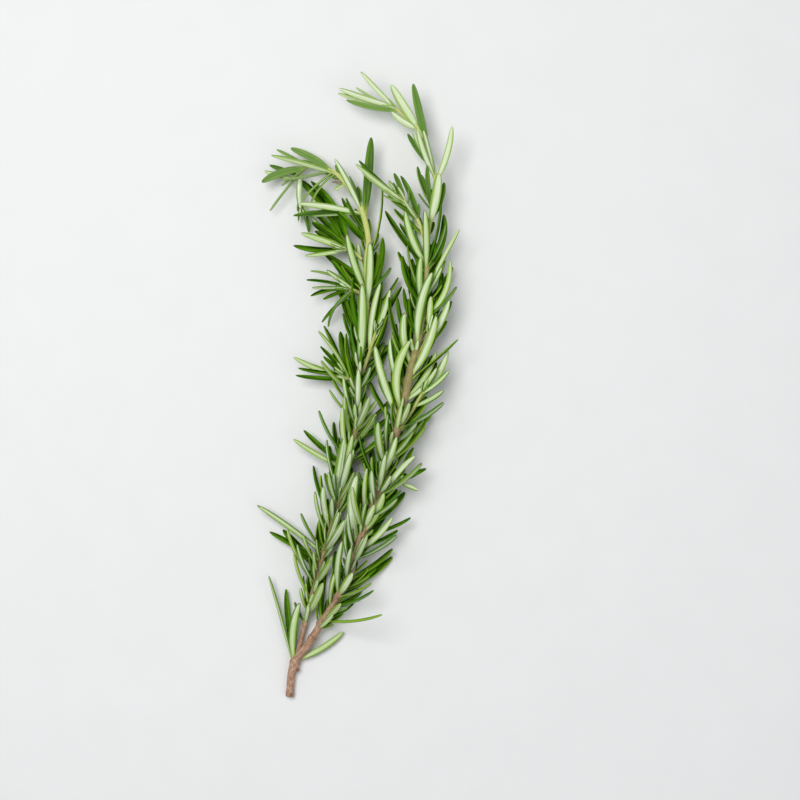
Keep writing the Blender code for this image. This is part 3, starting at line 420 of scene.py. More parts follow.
def route_of(points):
    """The smooth line through given points, as rows of x, y, z and radius 1 mm apart."""
    rows = np.array(points, float)
    rows = np.vstack([2 * rows[0] - rows[1], rows, 2 * rows[-1] - rows[-2]])
    line = []
    for before, start, end, after in zip(rows, rows[1:], rows[2:], rows[3:]):
        count = max(2, round(np.linalg.norm((end - start)[:3]) / ROUTE_STEP))
        for t in np.arange(count) / count:
            slope = (end - before) * t
            bend = (2 * before - 5 * start + 4 * end - after) * t**2
            ease = (3 * start - before - 3 * end + after) * t**3
            line.append(start + 0.5 * (slope + bend + ease))
    line.append(rows[-2])
    return np.array(line)


def lengths_along(route):
    steps = np.linalg.norm(np.diff(route[:, :3], axis=0), axis=1)
    return np.concatenate([[0.0], np.cumsum(steps)])


def rows_at(route, marks):
    """The rows of a route at these distances from its foot."""
    along = lengths_along(route)
    return np.array([[np.interp(mark, along, column) for column in route.T] for mark in marks])


def part_of(route, start, end=None):
    """The stretch of a route between two distances from its foot."""
    along = lengths_along(route)
    end = along[-1] if end is None else end
    inside = along[(along > start + CUT_GAP) & (along < end - CUT_GAP)]
    return rows_at(route, np.concatenate([[start], inside, [end]]))


def place_on(route, index):
    """The middle, direction and radius of a stem at one row of its route."""
    ahead = route[min(index + 1, len(route) - 1), :3]
    behind = route[max(index - 1, 0), :3]
    return route[index, :3], unit(ahead - behind), route[index, 3]


def index_at(along, mark):
    """The number of the first row at or past a distance from the foot."""
    return min(int(np.searchsorted(along, mark)), len(along) - 1)


def nearest(route, x, y):
    return int(np.argmin(np.hypot(route[:, 0] - x, route[:, 1] - y)))


class Leaf:
    """A curved leaf from root to tip, its widest width and the way that its upper face looks."""

    def __init__(self, root, bend, tip, width, face):
        self.root = np.array(root, float)
        self.bend = np.array(bend, float)
        self.tip = np.array(tip, float)
        self.width = width
        self.face = np.array(face, float)
        self.dry = 0.0
        self.kept_points = None

    def frames(self, stations):
        """Middle points, directions across and upper normals at shares of the length."""
        t = np.asarray(stations, float)[:, None]
        middle = (1 - t) ** 2 * self.root + 2 * t * (1 - t) * self.bend + t**2 * self.tip
        along = (1 - t) * (self.bend - self.root) + t * (self.tip - self.bend)
        along /= np.linalg.norm(along, axis=1, keepdims=True)
        upper = self.face - (along @ self.face)[:, None] * along
        upper /= np.linalg.norm(upper, axis=1, keepdims=True)
        return middle, np.cross(along, upper), upper

    def half_widths(self, stations):
        return 0.5 * self.width * np.interp(stations, WIDTH_AT, WIDTH_IS)

    def kept(self):
        """The test points of a leaf that has its final shape."""
        if self.kept_points is None:
            self.kept_points = self.test_points()
            points = self.kept_points.reshape(-1, 3)
            self.centre = points.mean(axis=0)
            self.reach = np.linalg.norm(points - self.centre, axis=1).max()
        return self.kept_points

    def near(self, other):
        """True if the two leaves could come within reach of each other."""
        self.kept()
        other.kept()
        gap = np.linalg.norm(self.centre - other.centre) - self.reach - other.reach
        return gap < NEAR_ENOUGH

    def test_points(self):
        middle, across, _ = self.frames(TEST_STATIONS)
        reach = self.half_widths(TEST_STATIONS)[:, None, None]
        return middle[:, None] + 2 * reach * TEST_ACROSS[None, :, None] * across[:, None]

    def keep_off_the_surface(self):
        """Bends the leaf up until all of it is clear of the surface."""
        for _ in range(LIFT_TRIES):
            lowest = self.test_points()[..., 2].min() - LEAF_THICKNESS / 2
            if lowest > TIP_CLEARANCE:
                return
            self.tip[2] += TIP_LIFT
            self.bend[2] += BEND_LIFT


def turned_face(direction, turn):
    """The upper normal of a leaf along this direction, turned from facing straight up."""
    raised = unit(np.array((0, 0, 1.0)) - direction[2] * direction)
    sideways = np.cross(direction, raised)
    angle = math.radians(turn)
    return math.cos(angle) * raised + math.sin(angle) * sideways


def root_on(middle, radius, heading):
    return middle + heading * max(0.0, radius - ROOT_DEPTH)


def seen_leaf(route, row, shift):
    """A listed leaf, its tip moved up or down by shift."""
    foot_x, foot_y, tip_x, tip_y, rise, width, turn, bow = row
    middle, stem, radius = place_on(route, nearest(route, foot_x, foot_y))
    tip = np.array((tip_x, tip_y, middle[2] + rise + shift))
    chord = tip - middle
    outward = unit(chord - (chord @ stem) * stem)
    root = root_on(middle, radius, outward)
    left = unit(np.array((-chord[1], chord[0], 0.0)))
    arch = SEEN_ARCH * np.linalg.norm(chord)
    bend = 0.5 * (root + tip) + bow * left + arch * outward
    leaf = Leaf(root, bend, tip, width, turned_face(unit(tip - root), turn))
    leaf.keep_off_the_surface()
    return leaf


def resting_leaf(route, row):
    """A leaf that reaches the surface and lies flat on it along its outer half."""
    foot_x, foot_y, tip_x, tip_y, width = row
    middle, _, radius = place_on(route, nearest(route, foot_x, foot_y))
    tip = np.array((tip_x, tip_y, REST_HEIGHT))
    root = root_on(middle, radius, unit(np.array((0, 0, -1.0))))
    bend = 0.5 * (root + tip)
    bend[2] = -REST_DIP * middle[2] / REST_STEM_HEIGHT
    return Leaf(root, bend, tip, width, (0, 0, 1.0))


def side_axes(stem):
    """Two directions square to a stem: to its right, and up."""
    right = unit(np.cross(stem, (0, 0, 1.0)))
    return right, np.cross(right, stem)


def grown_leaf(route, index, azimuth, spread, length, width):
    """A leaf that the growth rule places, curving up to follow its stem."""
    middle, stem, radius = place_on(route, index)
    right, up = side_axes(stem)
    angle = math.radians(azimuth)
    outward = math.cos(angle) * right + math.sin(angle) * up
    lean = math.radians(spread)
    root = root_on(middle, radius, outward)
    tip = root + length * (math.cos(lean) * stem + math.sin(lean) * outward)
    bend = 0.5 * (root + tip) + GROWN_ARCH * length * outward - GROWN_SAG * length * stem
    upper = math.sin(lean) * stem - math.cos(lean) * outward
    leaf = Leaf(root, bend, tip, width, upper)
    leaf.keep_off_the_surface()
    return leaf


def gaps_between(points, others):
    return np.linalg.norm(points[:, None] - others[None], axis=2)


class Thicket:
    """Keeps what has been placed, so that each new leaf finds room."""

    def __init__(self):
        self.stems = {}
        self.node_of = {}
        self.leaves = {}

    def add_stem(self, name, route, node=None):
        """A stem of its own node, or a twig of another."""
        self.stems[name] = route
        self.node_of[name] = node or name
        self.leaves.setdefault(node or name, [])

    def room_among(self, leaf, node, stations):
        """The smallest gap between a leaf and the leaves of one node, at these stations."""
        points = leaf.kept()[stations].reshape(-1, 3)
        gaps = (
            gaps_between(points, other.kept()[stations].reshape(-1, 3)).min()
            for other in self.leaves[node]
            if leaf.near(other)
        )
        return min(gaps, default=math.inf)

    def room_from_others(self, leaf, node):
        points = leaf.kept().reshape(-1, 3)
        rooms = [math.inf]
        for name, route in self.stems.items():
            if self.node_of[name] != node:
                gaps = gaps_between(points, route[:, :3]) - route[:, 3]
                rooms.append(gaps.min() + STEM_ALLOWANCE)
        for other in self.leaves:
            if other != node:
                rooms.append(self.room_among(leaf, other, ALL_STATIONS))
        return min(rooms)

    def room_at_home(self, leaf, node):
        return self.room_among(leaf, node, FREE_STATIONS)

    def settle(self, node, choices, must_be_free):
        """Adds the first leaf that finds room, or else the freest where it needn't be free."""
        best = None
        for leaf in choices:
            if self.room_from_others(leaf, node) < FAR_ROOM:
                continue
            room = self.room_at_home(leaf, node)
            if room >= OWN_ROOM:
                self.leaves[node].append(leaf)
                return leaf
            if best is None or room > best[0]:
                best = (room, leaf)
        if best is None or must_be_free:
            return None
        self.leaves[node].append(best[1])
        return best[1]


def add_seen_leaves(thicket, stem, rows):
    route = thicket.stems[stem]
    for row in rows:
        choices = (seen_leaf(route, row, step * HEIGHT_SHIFT) for step in HEIGHT_TRIES)
        thicket.settle(thicket.node_of[stem], choices, must_be_free=False)


def add_resting_leaves(thicket, stem, rows):
    for row in rows:
        thicket.leaves[thicket.node_of[stem]].append(resting_leaf(thicket.stems[stem], row))


def add_grown_leaves(thicket, node, seed, start, end, first_turn, sizes, under_only):
    """Opposite pairs with tufts in their axils, between two distances along the stem.

    sizes is (length at start, length at end, width). With under_only, only the leaves that leave
    the stem downwards are grown, because the others are listed.
    """
    draw = random.Random(seed)
    route = thicket.stems[node]
    along = lengths_along(route)
    count = max(1, round((end - start) / PAIR_GAP))
    for step in range(count + 1):
        share = step / count
        base = first_turn + step * QUARTER_TURN + draw.uniform(-TURN_DRIFT, TURN_DRIFT)
        length = sizes[0] + (sizes[1] - sizes[0]) * share
        for side in (0.0, 180.0):
            spot = start + (end - start) * share + draw.uniform(-SPOT_DRIFT, SPOT_DRIFT)
            azimuth = base + side
            spread = draw.uniform(*SPREAD)
            plan = [(0.0, azimuth, spread, length * draw.uniform(*LENGTH_DRIFT))]
            for swing in (-TUFT_SWING, TUFT_SWING, 0.0):
                small = length * draw.uniform(*TUFT_SIZE)
                plan.append((TUFT_RAISE, azimuth + swing, draw.uniform(*TUFT_SPREAD), small))
            for raised, facing, spread, size in plan:
                if under_only and math.sin(math.radians(facing)) > UNDER_LIMIT:
                    continue
                index = index_at(along, spot + raised)
                width = sizes[2] * (WIDTH_BASE + WIDTH_GAIN * min(1.0, size / length))
                choices = (
                    grown_leaf(route, index, facing + turn, spread, size, width)
                    for turn in AZIMUTH_TRIES
                )
                thicket.settle(node, choices, must_be_free=True)


def grow():
    """Every stem and leaf of the sprig."""
    main = route_of(MAIN_POINTS)
    left = route_of(LEFT_POINTS)
    thicket = Thicket()
    thicket.add_stem("woody_stem", part_of(main, 0.0, MAIN_FOOT))
    thicket.add_stem("main_branch", part_of(main, MAIN_FOOT + JOINT_GAP))
    thicket.add_stem("left_branch", part_of(left, LEFT_FOOT + JOINT_GAP))
    thicket.add_stem("main_side_shoot", route_of(MAIN_SHOOT_POINTS))
    thicket.add_stem("left_side_shoot", route_of(LEFT_SHOOT_POINTS))
    for name, (node, points) in TWIGS.items():
        thicket.add_stem(name, route_of(points), node)
    for stem, rows in RESTING_LEAVES:
        add_resting_leaves(thicket, stem, rows)
    for stem, rows in SEEN_LEAVES:
        add_seen_leaves(thicket, stem, rows)
    for growth in GROWN_LEAVES:
        add_grown_leaves(thicket, *growth)
    return thicket, left


def mirrored(rows):
    return [(-row[0], *row[1:]) for row in reversed(rows)]


# The section of a fine leaf, point by point round the blade: across and up, as shares of the half
# width and of the thickness unit, then how much it is upper face, rolled green rim and midrib. Each
# half runs from the middle or the rim on the right side, and the left side mirrors it.
MIDRIB = (0.0, 0.05, 1.0, 0.0, 1.0)
UPPER_HALF = (
    (0.09, 0.12, 1.0, 0.0, 0.6),
    (0.3, 0.24, 1.0, 0.0, 0.1),
    (0.66, 0.25, 1.0, 0.1, 0.0),
    (0.92, 0.13, 1.0, 0.6, 0.0),
    (1.0, -0.06, 0.7, 1.0, 0.0),
)
UNDER_HALF = (
    (0.95, -0.25, 0.4, 1.0, 0.0),
    (0.83, -0.32, 0.1, 1.0, 0.0),
    (0.69, -0.23, 0.0, 0.8, 0.0),
    (0.44, -0.11, 0.0, 0.2, 0.0),
    (0.16, -0.14, 0.0, 0.0, 0.3),
    (0.07, -0.25, 0.0, 0.0, 1.0),
)
SECTION = np.array(
    (*mirrored(UPPER_HALF), MIDRIB, *UPPER_HALF, *UNDER_HALF, *mirrored(UNDER_HALF))
)
# For each attribute that varies round the blade, its column of the section and its value at the
# leaf's tip.
SECTION_VALUES = {"across": (0, 0.0), "upper": (2, 0.5), "rim": (3, 1.0), "rib": (4, 0.0)}
STATIONS = np.array(
    (0, 0.03, 0.08, 0.15, 0.24, 0.34, 0.45, 0.56, 0.67, 0.77, 0.86, 0.92, 0.96, 0.985)
)
FINE_WIDTH_AT = (0.0, 0.04, 0.1, 0.18, 0.3, 0.5, 0.68, 0.82, 0.91, 0.96, 0.985, 1.0)
FINE_WIDTH_IS = (0.5, 0.46, 0.54, 0.76, 0.95, 1.0, 0.96, 0.84, 0.63, 0.42, 0.26, 0.1)
THICK_BASE = 0.62
THICK_PER_WIDTH = 0.32
# How thick the blade stays where it is narrow, what its width adds, and how soon.
TAPER_BASE = 0.45
TAPER_GAIN = 0.55
TAPER_HASTE = 1.1
TWIST = 16.0
TWIST_POWER = 1.5
# Nothing shown goes nearer to the surface, or to the sides of the CAD model's box, than this.
FLOOR_GAP = 0.02
BOX_GAP = 0.005

# Leaves that only the looks have: full-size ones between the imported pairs, small ones in the
# axils, and a crown at each growing tip. Each kind has a range of length, of width and of lean.
FILLERS = ((11.0, 19.0), (1.9, 2.9), (18.0, 48.0))
TUFTS = ((4.5, 10.5), (1.0, 1.7), (16.0, 44.0))
GROUP_GAP = 5.75
GROUP_LEAVES = 4
LOOKS_FAR_ROOM = 1.2
LOOKS_OWN_ROOM = 0.72
LOOKS_TRIES = 6
# Above this sine of the way that it leaves its stem, a leaf would hide the listed leaves.
SIDE_LIMIT = 0.25
MARK_DRIFT = 1.0
FACING_DRIFT = 30
LOOKS_BOX_GAP = 0.3
# Where they are added: stem, seed, first and last distance from its foot, kind, and the distance
# from which none is added on top.
GROUPS = (
    ("main_branch", 41, 12, 138, FILLERS, 76),
    ("left_branch", 42, 14, 128, FILLERS, 88),
    ("main_branch", 43, 50, 138, FILLERS, 50),
    ("left_branch", 44, 50, 128, FILLERS, 50),
    ("main_branch", 21, 4, 152, TUFTS, 88),
    ("left_branch", 22, 6, 142, TUFTS, 108),
    ("main_side_shoot", 23, 2, 16, TUFTS, math.inf),
    ("left_side_shoot", 24, 2, 7, TUFTS, math.inf),
)
CROWN_LEAVES = 7
CROWN_ROWS = 3
CROWN_TURN = 137.5
CROWN_DRIFT = 15
CROWN_SEED = 31
CROWN_LENGTH = (2.6, 6.0)
CROWN_WIDTH = (0.8, 1.2)
CROWN_LEAN = (6.0, 30.0)
YOUNG_Y = 105.0
OLD_Y = -105.0

STEM_SIDES = 20
STEM_RING = 0.6
NODE_SWELL = 0.14
NODE_LENGTH = 1.1
FIRST_NODE = 5.0
FOOT_NODE = 12.5
# The waves of a stem's sides: height as a share of the radius, waves round it, and radians of each
# millimetre along it.
STEM_WAVES = ((0.035, 2, 0.21), (0.025, 4, -0.13), (0.012, 3, 0.7))
# How far a stem's ends bulge, as shares of its radius, and the rings inside each end.
FOOT_BULGE = -0.04
TIP_BULGE = 0.5
CAP_SHARES = (0.85, 0.3)
SCAR_RISE = 0.22
SCAR_LENGTH = 0.8
SCAR_SPREAD = 0.5
# The swollen leaf scar on the bare foot: its distance from the cut end, its length, how far it
# stands out and the way that it faces.
KNOB_AT = 10.4
KNOB_LENGTH = 1.0
KNOB_RISE = 0.75
KNOB_FACING = (1.0, -0.2, 0.35)
# Where the left arm of the fork comes out of the foot.
ARM_START = 9.0
# How woody each stem is, as distances from its foot and the age at each.
STEM_AGES = {
    "woody_stem": ((0, 24), (1, 0.94)),
    "main_branch": ((0, 75, 100, 140, 170, 200), (0.93, 0.8, 0.58, 0.38, 0.1, 0.02)),
    "left_branch": ((0, 60, 92, 115, 130, 200), (0.86, 0.72, 0.5, 0.32, 0.06, 0)),
    "main_side_shoot": ((0, 15), (0.12, 0)),
    "left_side_shoot": ((0, 7), (0.12, 0)),
}
TWIG_AGES = ((0, 14), (0.52, 0.3))
# Small things that show on the stems: a withered bud by the curled tip and a pale cup of young
# leaves. Each has its stem, a row like those of the seen leaves, and how withered it is.
BUD_LEAVES = (
    ("left_branch", (-5.2, 72.0, -9.1, 71.8, 1.6, 0.9, 140, 0.3), 1.0),
    ("left_branch", (-5.4, 71.9, -7.9, 71.2, 1.4, 0.7, 100, 0.0), 0.7),
    ("left_branch", (-4.4, 71.3, -7.9, 70.4, 1.0, 0.75, 150, 0.0), 0.0),
    ("main_branch", (19.9, 11.5, 18.6, 16.6, 3.2, 1.7, 180, 0.3), 0.0),
    ("main_branch", (19.9, 11.5, 20.9, 16.0, 3.0, 1.5, 170, -0.3), 0.0),
)

# Fine down on the young stems.
DOWN_PER_MM = 9
DOWN_LENGTH = (0.14, 0.34)
DOWN_WIDTH = 0.028
DOWN_SIDES = 3
DOWN_SINK = 0.96
DOWN_LEAN = 0.9
DOWN_LEAN_BACK = 0.1


def clipped(points):
    """Points in metres from millimetres, kept inside the CAD model's box and off the surface."""
    low = np.array(cad_box[0]) / MM + BOX_GAP
    high = np.array(cad_box[1]) / MM - BOX_GAP
    low[2] = FLOOR_GAP
    return np.clip(points, low, high) * MM


def twisted(leaf, amount):
    """The leaf's middle, across and upper directions, turned a little more towards its tip."""
    middle, across, upper = leaf.frames(STATIONS)
    angle = np.radians(amount) * STATIONS[:, None] ** TWIST_POWER
    turned_across = np.cos(angle) * across + np.sin(angle) * upper
    turned_upper = np.cos(angle) * upper - np.sin(angle) * across
    return middle, turned_across, turned_upper


def leaf_rings(leaf, twist):
    """The rings of points of one fine leaf in millimetres."""
    middle, across, upper = twisted(leaf, twist)
    share = np.interp(STATIONS, FINE_WIDTH_AT, FINE_WIDTH_IS)
    half = 0.5 * leaf.width * share
    taper = TAPER_BASE + TAPER_GAIN * np.minimum(1.0, share * TAPER_HASTE)
    thick = (THICK_BASE + THICK_PER_WIDTH * leaf.width) * taper
    rings = middle[:, None] + half[:, None, None] * SECTION[None, :, :1] * across[:, None]
    return rings + thick[:, None, None] * SECTION[None, :, 1:2] * upper[:, None]


def round_ring(sides):
    """Each number of a ring's points with the next one round."""
    return [(a, (a + 1) % sides) for a in range(sides)]


def ring_faces(low, high, sides):
    """The faces between two rings of points that begin at these numbers."""
    return [(low + a, low + b, high + b, high + a) for a, b in round_ring(sides)]


def fan_faces(ring, apex, sides):
    """The faces between a ring of points and one point."""
    return [(ring + a, ring + b, apex) for a, b in round_ring(sides)]


def leaves_object(name, leaves, seed, material):
    """Many fine leaves as one mesh, with the attributes that its material reads."""
    draw = random.Random(seed)
    around = len(SECTION)
    count = len(STATIONS)
    total = around * count + 1
    points, faces = [], []
    values = {key: [] for key in (*SECTION_VALUES, "along", "tone", "age", "dry")}
    for number, leaf in enumerate(leaves):
        start = number * total
        last = start + (count - 1) * around
        rings = leaf_rings(leaf, draw.uniform(-TWIST, TWIST)).reshape(-1, 3)
        points.append(np.vstack([rings, leaf.tip]))
        for low in range(start, last, around):
            faces += ring_faces(low, low + around, around)
        faces += fan_faces(last, last + around, around)
        faces.append(tuple(reversed(range(start, start + around))))
        for key, (column, at_tip) in SECTION_VALUES.items():
            values[key].append(np.append(np.tile(SECTION[:, column], count), at_tip))
        values["along"].append(np.append(np.repeat(STATIONS, around), 1.0))
        age = np.interp(leaf.root[1], (OLD_Y, YOUNG_Y), (1.0, 0.0))
        for key, value in (("tone", draw.random()), ("age", age), ("dry", leaf.dry)):
            values[key].append(np.full(total, value))
    values = {key: np.concatenate(rows) for key, rows in values.items()}
    return mesh_object(name, np.vstack(points), faces, values, material)


def mesh_object(name, points, faces, values, material):
    mesh = bpy.data.meshes.new(name)
    mesh.from_pydata(clipped(np.array(points)).tolist(), [], faces)
    for key, numbers in values.items():
        attribute = mesh.attributes.new(key, "FLOAT", "POINT")
        attribute.data.foreach_set("value", np.array(numbers, np.float32))
    mesh.polygons.foreach_set("use_smooth", np.ones(len(mesh.polygons), bool))
    mesh.materials.append(material)
    mesh.update()
    piece = bpy.data.objects.new(name, mesh)
    bpy.context.scene.collection.objects.link(piece)
    return piece


def fine_rows(route, start=0.0):
    """A route's rows close together, with their distances from its foot and their directions."""
    along = lengths_along(route)
    count = max(3, round((along[-1] - start) / STEM_RING))
    marks = np.linspace(start, along[-1], count + 1)
    rows = rows_at(route, marks)
    tangents = np.gradient(rows[:, :3], axis=0)
    return marks, rows, tangents / np.linalg.norm(tangents, axis=1, keepdims=True)


def around_stem(tangents):
    """For each row of a stem, two directions square to it that don't turn about it."""
    side = unit(np.cross(tangents[0], (0.3, 0.1, 1.0)))
    pairs = []
    for tangent in tangents:
        side = unit(side - (side @ tangent) * tangent)
        pairs.append((side, np.cross(tangent, side)))
    return pairs


def swelling(mark, angle, age, first_node):
    """How far a stem stands out at its nodes and leaf scars, and how much of it is a leaf scar."""
    number = round((mark - first_node) / PAIR_GAP)
    off = mark - first_node - number * PAIR_GAP
    ring = NODE_SWELL * math.exp(-((off / NODE_LENGTH) ** 2))
    turn = (angle - number * math.pi / 2) % math.pi
    turn = min(turn, math.pi - turn)
    scar = math.exp(-((off / SCAR_LENGTH) ** 2) - (turn / SCAR_SPREAD) ** 2)
    return ring + SCAR_RISE * scar * age, scar


def stem_object(name, route, ages, material, first_node=FIRST_NODE, start=0.0, knob=False):
    """A fine stem with swollen nodes, leaf scars and slightly uneven sides."""
    marks, rows, tangents = fine_rows(route, start)
    phases = np.random.default_rng(len(name)).uniform(0, 2 * math.pi, len(STEM_WAVES))
    points, faces = [], []
    values = {key: [] for key in ("length", "round", "age", "cut", "scar")}

    def note(*numbers):
        for key, value in zip(values, numbers):
            values[key].append(value)

    for row, mark, (side, other) in zip(rows, marks, around_stem(tangents)):
        age = np.interp(mark, *ages)
        for number in range(STEM_SIDES):
            angle = number * 2 * math.pi / STEM_SIDES
            uneven = 0.0
            for (height, waves, pitch), phase in zip(STEM_WAVES, phases):
                uneven += height * math.sin(waves * angle + phase + mark * pitch)
            swell, scar = swelling(mark, angle, age, first_node)
            heading = math.cos(angle) * side + math.sin(angle) * other
            if knob:
                facing = max(0.0, heading @ unit(np.array(KNOB_FACING)))
                lump = facing**3 * math.exp(-(((mark - KNOB_AT) / KNOB_LENGTH) ** 2))
                swell += KNOB_RISE * lump
                scar = max(scar, lump)
            points.append(row[:3] + row[3] * (1 + swell) * (1 + uneven) * heading)
            note(mark, number / STEM_SIDES, age, 1.0, scar)
    for ring in range(len(rows) - 1):
        faces += ring_faces(ring * STEM_SIDES, (ring + 1) * STEM_SIDES, STEM_SIDES)
    for ring, bulge, winding in ((0, FOOT_BULGE, 1), (len(rows) - 1, TIP_BULGE, -1)):
        outer = ring * STEM_SIDES
        edge = points[outer : outer + STEM_SIDES]
        centre = rows[ring, :3] + tangents[ring] * bulge * rows[ring, 3]
        age = np.interp(marks[ring], *ages)
        for share in CAP_SHARES:
            inner = len(points)
            for a, b in round_ring(STEM_SIDES):
                points.append(centre + share * (edge[a] - centre))
                note(marks[ring], a / STEM_SIDES, age, share, 0.0)
                faces.append((outer + b, outer + a, inner + a, inner + b)[::winding])
            outer = inner
        points.append(centre)
        note(marks[ring], 0.5, age, 0.0, 0.0)
        for a, b in round_ring(STEM_SIDES):
            faces.append((outer + b, outer + a, len(points) - 1)[::winding])
    return mesh_object(name, points, faces, values, material)


def down_object(name, route, ages, seed, material):
    """Short fine hairs on a stem, fewer where it is woody."""
    draw = np.random.default_rng(seed)
    marks, rows, tangents = fine_rows(route)
    pairs = around_stem(tangents)
    points, faces, tones = [], [], []
    for _ in range(int(marks[-1] * DOWN_PER_MM)):
        index = int(draw.integers(0, len(rows)))
        age = np.interp(marks[index], *ages)
        angle, size, lean, sway = draw.uniform(0, 1, 4)
        if draw.uniform() < age:
            continue
        side, other = pairs[index]
        heading = math.cos(2 * math.pi * angle) * side + math.sin(2 * math.pi * angle) * other
        across = np.cross(tangents[index], heading)
        foot = rows[index, :3] + tangents[index] * (sway - 0.5) * STEM_RING
        foot = foot + heading * (rows[index, 3] * DOWN_SINK)
        length = DOWN_LENGTH[0] + (DOWN_LENGTH[1] - DOWN_LENGTH[0]) * size
        bent = (DOWN_LEAN * lean - DOWN_LEAN_BACK) * tangents[index] + (sway - 0.5) * across
        tip = foot + length * unit(heading + bent)
        first = len(points)
        for turn in range(DOWN_SIDES):
            around = turn * 2 * math.pi / DOWN_SIDES
            ring = math.cos(around) * across + math.sin(around) * tangents[index]
            points.append(foot + ring * DOWN_WIDTH)
        points.append(tip)
        tones.extend([size] * (DOWN_SIDES + 1))
        faces += fan_faces(first, first + DOWN_SIDES, DOWN_SIDES)
    return mesh_object(name, points, faces, {"tone": tones}, material)


def has_room(thicket, leaf, node):
    """True if a leaf is inside the CAD model's box and clear of the leaves placed before it."""
    high = np.array(cad_box[1]) / MM - LOOKS_BOX_GAP
    low = np.array(cad_box[0]) / MM + LOOKS_BOX_GAP
    points = leaf.kept().reshape(-1, 3)
    if (points > high).any() or (points[:, :2] < low[:2]).any():
        return False
    if thicket.room_from_others(leaf, node) < LOOKS_FAR_ROOM:
        return False
    return thicket.room_at_home(leaf, node) >= LOOKS_OWN_ROOM


def add_groups(thicket, stem, seed, start, end, kind, top_from):
    """Groups of leaves of one kind between two distances along a stem, where there is room.

    From the distance top_from on, no leaf is added on top of the stem, where it shows.
    """
    draw = random.Random(seed)
    node = thicket.node_of[stem]
    route = thicket.stems[stem]
    along = lengths_along(route)
    lengths, widths, leans = kind
    added = []
    mark = start
    while mark < min(end, along[-1]):
        turn = draw.uniform(0, QUARTER_TURN)
        for quarter in range(GROUP_LEAVES):
            for _ in range(LOOKS_TRIES):
                index = index_at(along, mark + draw.uniform(-MARK_DRIFT, MARK_DRIFT))
                facing = turn + quarter * QUARTER_TURN + draw.uniform(-FACING_DRIFT, FACING_DRIFT)
                size = draw.uniform(*lengths)
                lean, width = draw.uniform(*leans), draw.uniform(*widths)
                if mark > top_from and math.sin(math.radians(facing)) > SIDE_LIMIT:
                    continue
                leaf = grown_leaf(route, index, facing, lean, size, width)
                if has_room(thicket, leaf, node):
                    thicket.leaves[node].append(leaf)
                    added.append(leaf)
                    break
        mark += GROUP_GAP
    return added


def add_buds(thicket):
    """The withered bud and the pale cup."""
    added = []
    for stem, row, dry in BUD_LEAVES:
        leaf = seen_leaf(thicket.stems[stem], row, 0.0)
        leaf.dry = dry
        thicket.leaves[thicket.node_of[stem]].append(leaf)
        added.append(leaf)
    return added


def add_crown(thicket, stem, seed):
    """The tight cluster of the youngest leaves at a growing tip."""
    draw = random.Random(seed)
    route = thicket.stems[stem]
    added = []
    for number in range(CROWN_LEAVES):
        index = len(route) - 1 - number % CROWN_ROWS
        facing = number * CROWN_TURN + draw.uniform(-CROWN_DRIFT, CROWN_DRIFT)
        lean = draw.uniform(*CROWN_LEAN)
        size, width = draw.uniform(*CROWN_LENGTH), draw.uniform(*CROWN_WIDTH)
        added.append(grown_leaf(route, index, facing, lean, size, width))
    return added


class Nodes:
    """A short way to lay out a material's node tree."""

    def __init__(self, name):
        self.material = bpy.data.materials.new(name)
        self.material.use_nodes = True
        self.tree = self.material.node_tree
        self.shader = self.tree.nodes["Principled BSDF"]

    def fill(self, node, inputs):
        """Links each input to a socket, or sets it to a number or a colour."""
        for key, value in inputs.items():
            if isinstance(value, bpy.types.NodeSocket):
                self.tree.links.new(value, node.inputs[key])
            else:
                colour = isinstance(value, tuple)
                node.inputs[key].default_value = (*value, 1.0) if colour else value

    def node(self, kind, inputs, **settings):
        """The outputs of a new node."""
        made = self.tree.nodes.new(kind)
        for key, value in settings.items():
            setattr(made, key, value)
        self.fill(made, inputs)
        return made.outputs

    def read(self, name):
        return self.node("ShaderNodeAttribute", {}, attribute_name=name)["Fac"]

    def place(self):
        return self.node("ShaderNodeTexCoord", {})["Object"]

    def maths(self, operation, *values):
        return self.node("ShaderNodeMath", dict(enumerate(values)), operation=operation)[0]

    def times(self, first, second):
        return self.maths("MULTIPLY", first, second)

    def vector(self, *values):
        return self.node("ShaderNodeCombineXYZ", dict(enumerate(values)))[0]

    def noise(self, vector, scale, detail=2.0, roughness=0.5):
        inputs = {"Vector": vector, "Scale": scale, "Detail": detail, "Roughness": roughness}
        return self.node("ShaderNodeTexNoise", inputs)["Fac"]

    def mix(self, share, first, second):
        return self.node("ShaderNodeMix", {0: share, 6: first, 7: second}, data_type="RGBA")[2]

    def band(self, value, low, high, start=0.0, end=1.0):
        inputs = dict(enumerate((value, low, high, start, end)))
        return self.node("ShaderNodeMapRange", inputs, clamp=True)["Result"]

    def layered(self, colour, *layers):
        """Lays tints over a colour, each by a share where its value passes from low to high."""
        for value, low, high, share, tint in layers:
            colour = self.mix(self.times(self.band(value, low, high), share), colour, tint)
        return colour

    def bump(self, height, strength, distance):
        inputs = {"Height": height, "Strength": strength, "Distance": distance}
        return self.node("ShaderNodeBump", inputs)["Normal"]

    def finish(self, colour, roughness, normal, sheen=0.0, shine=0.5):
        inputs = {"Base Color": colour, "Roughness": roughness, "Normal": normal}
        inputs |= {"Sheen Weight": sheen, "Specular IOR Level": shine}
        self.fill(self.shader, inputs)
        return self.material


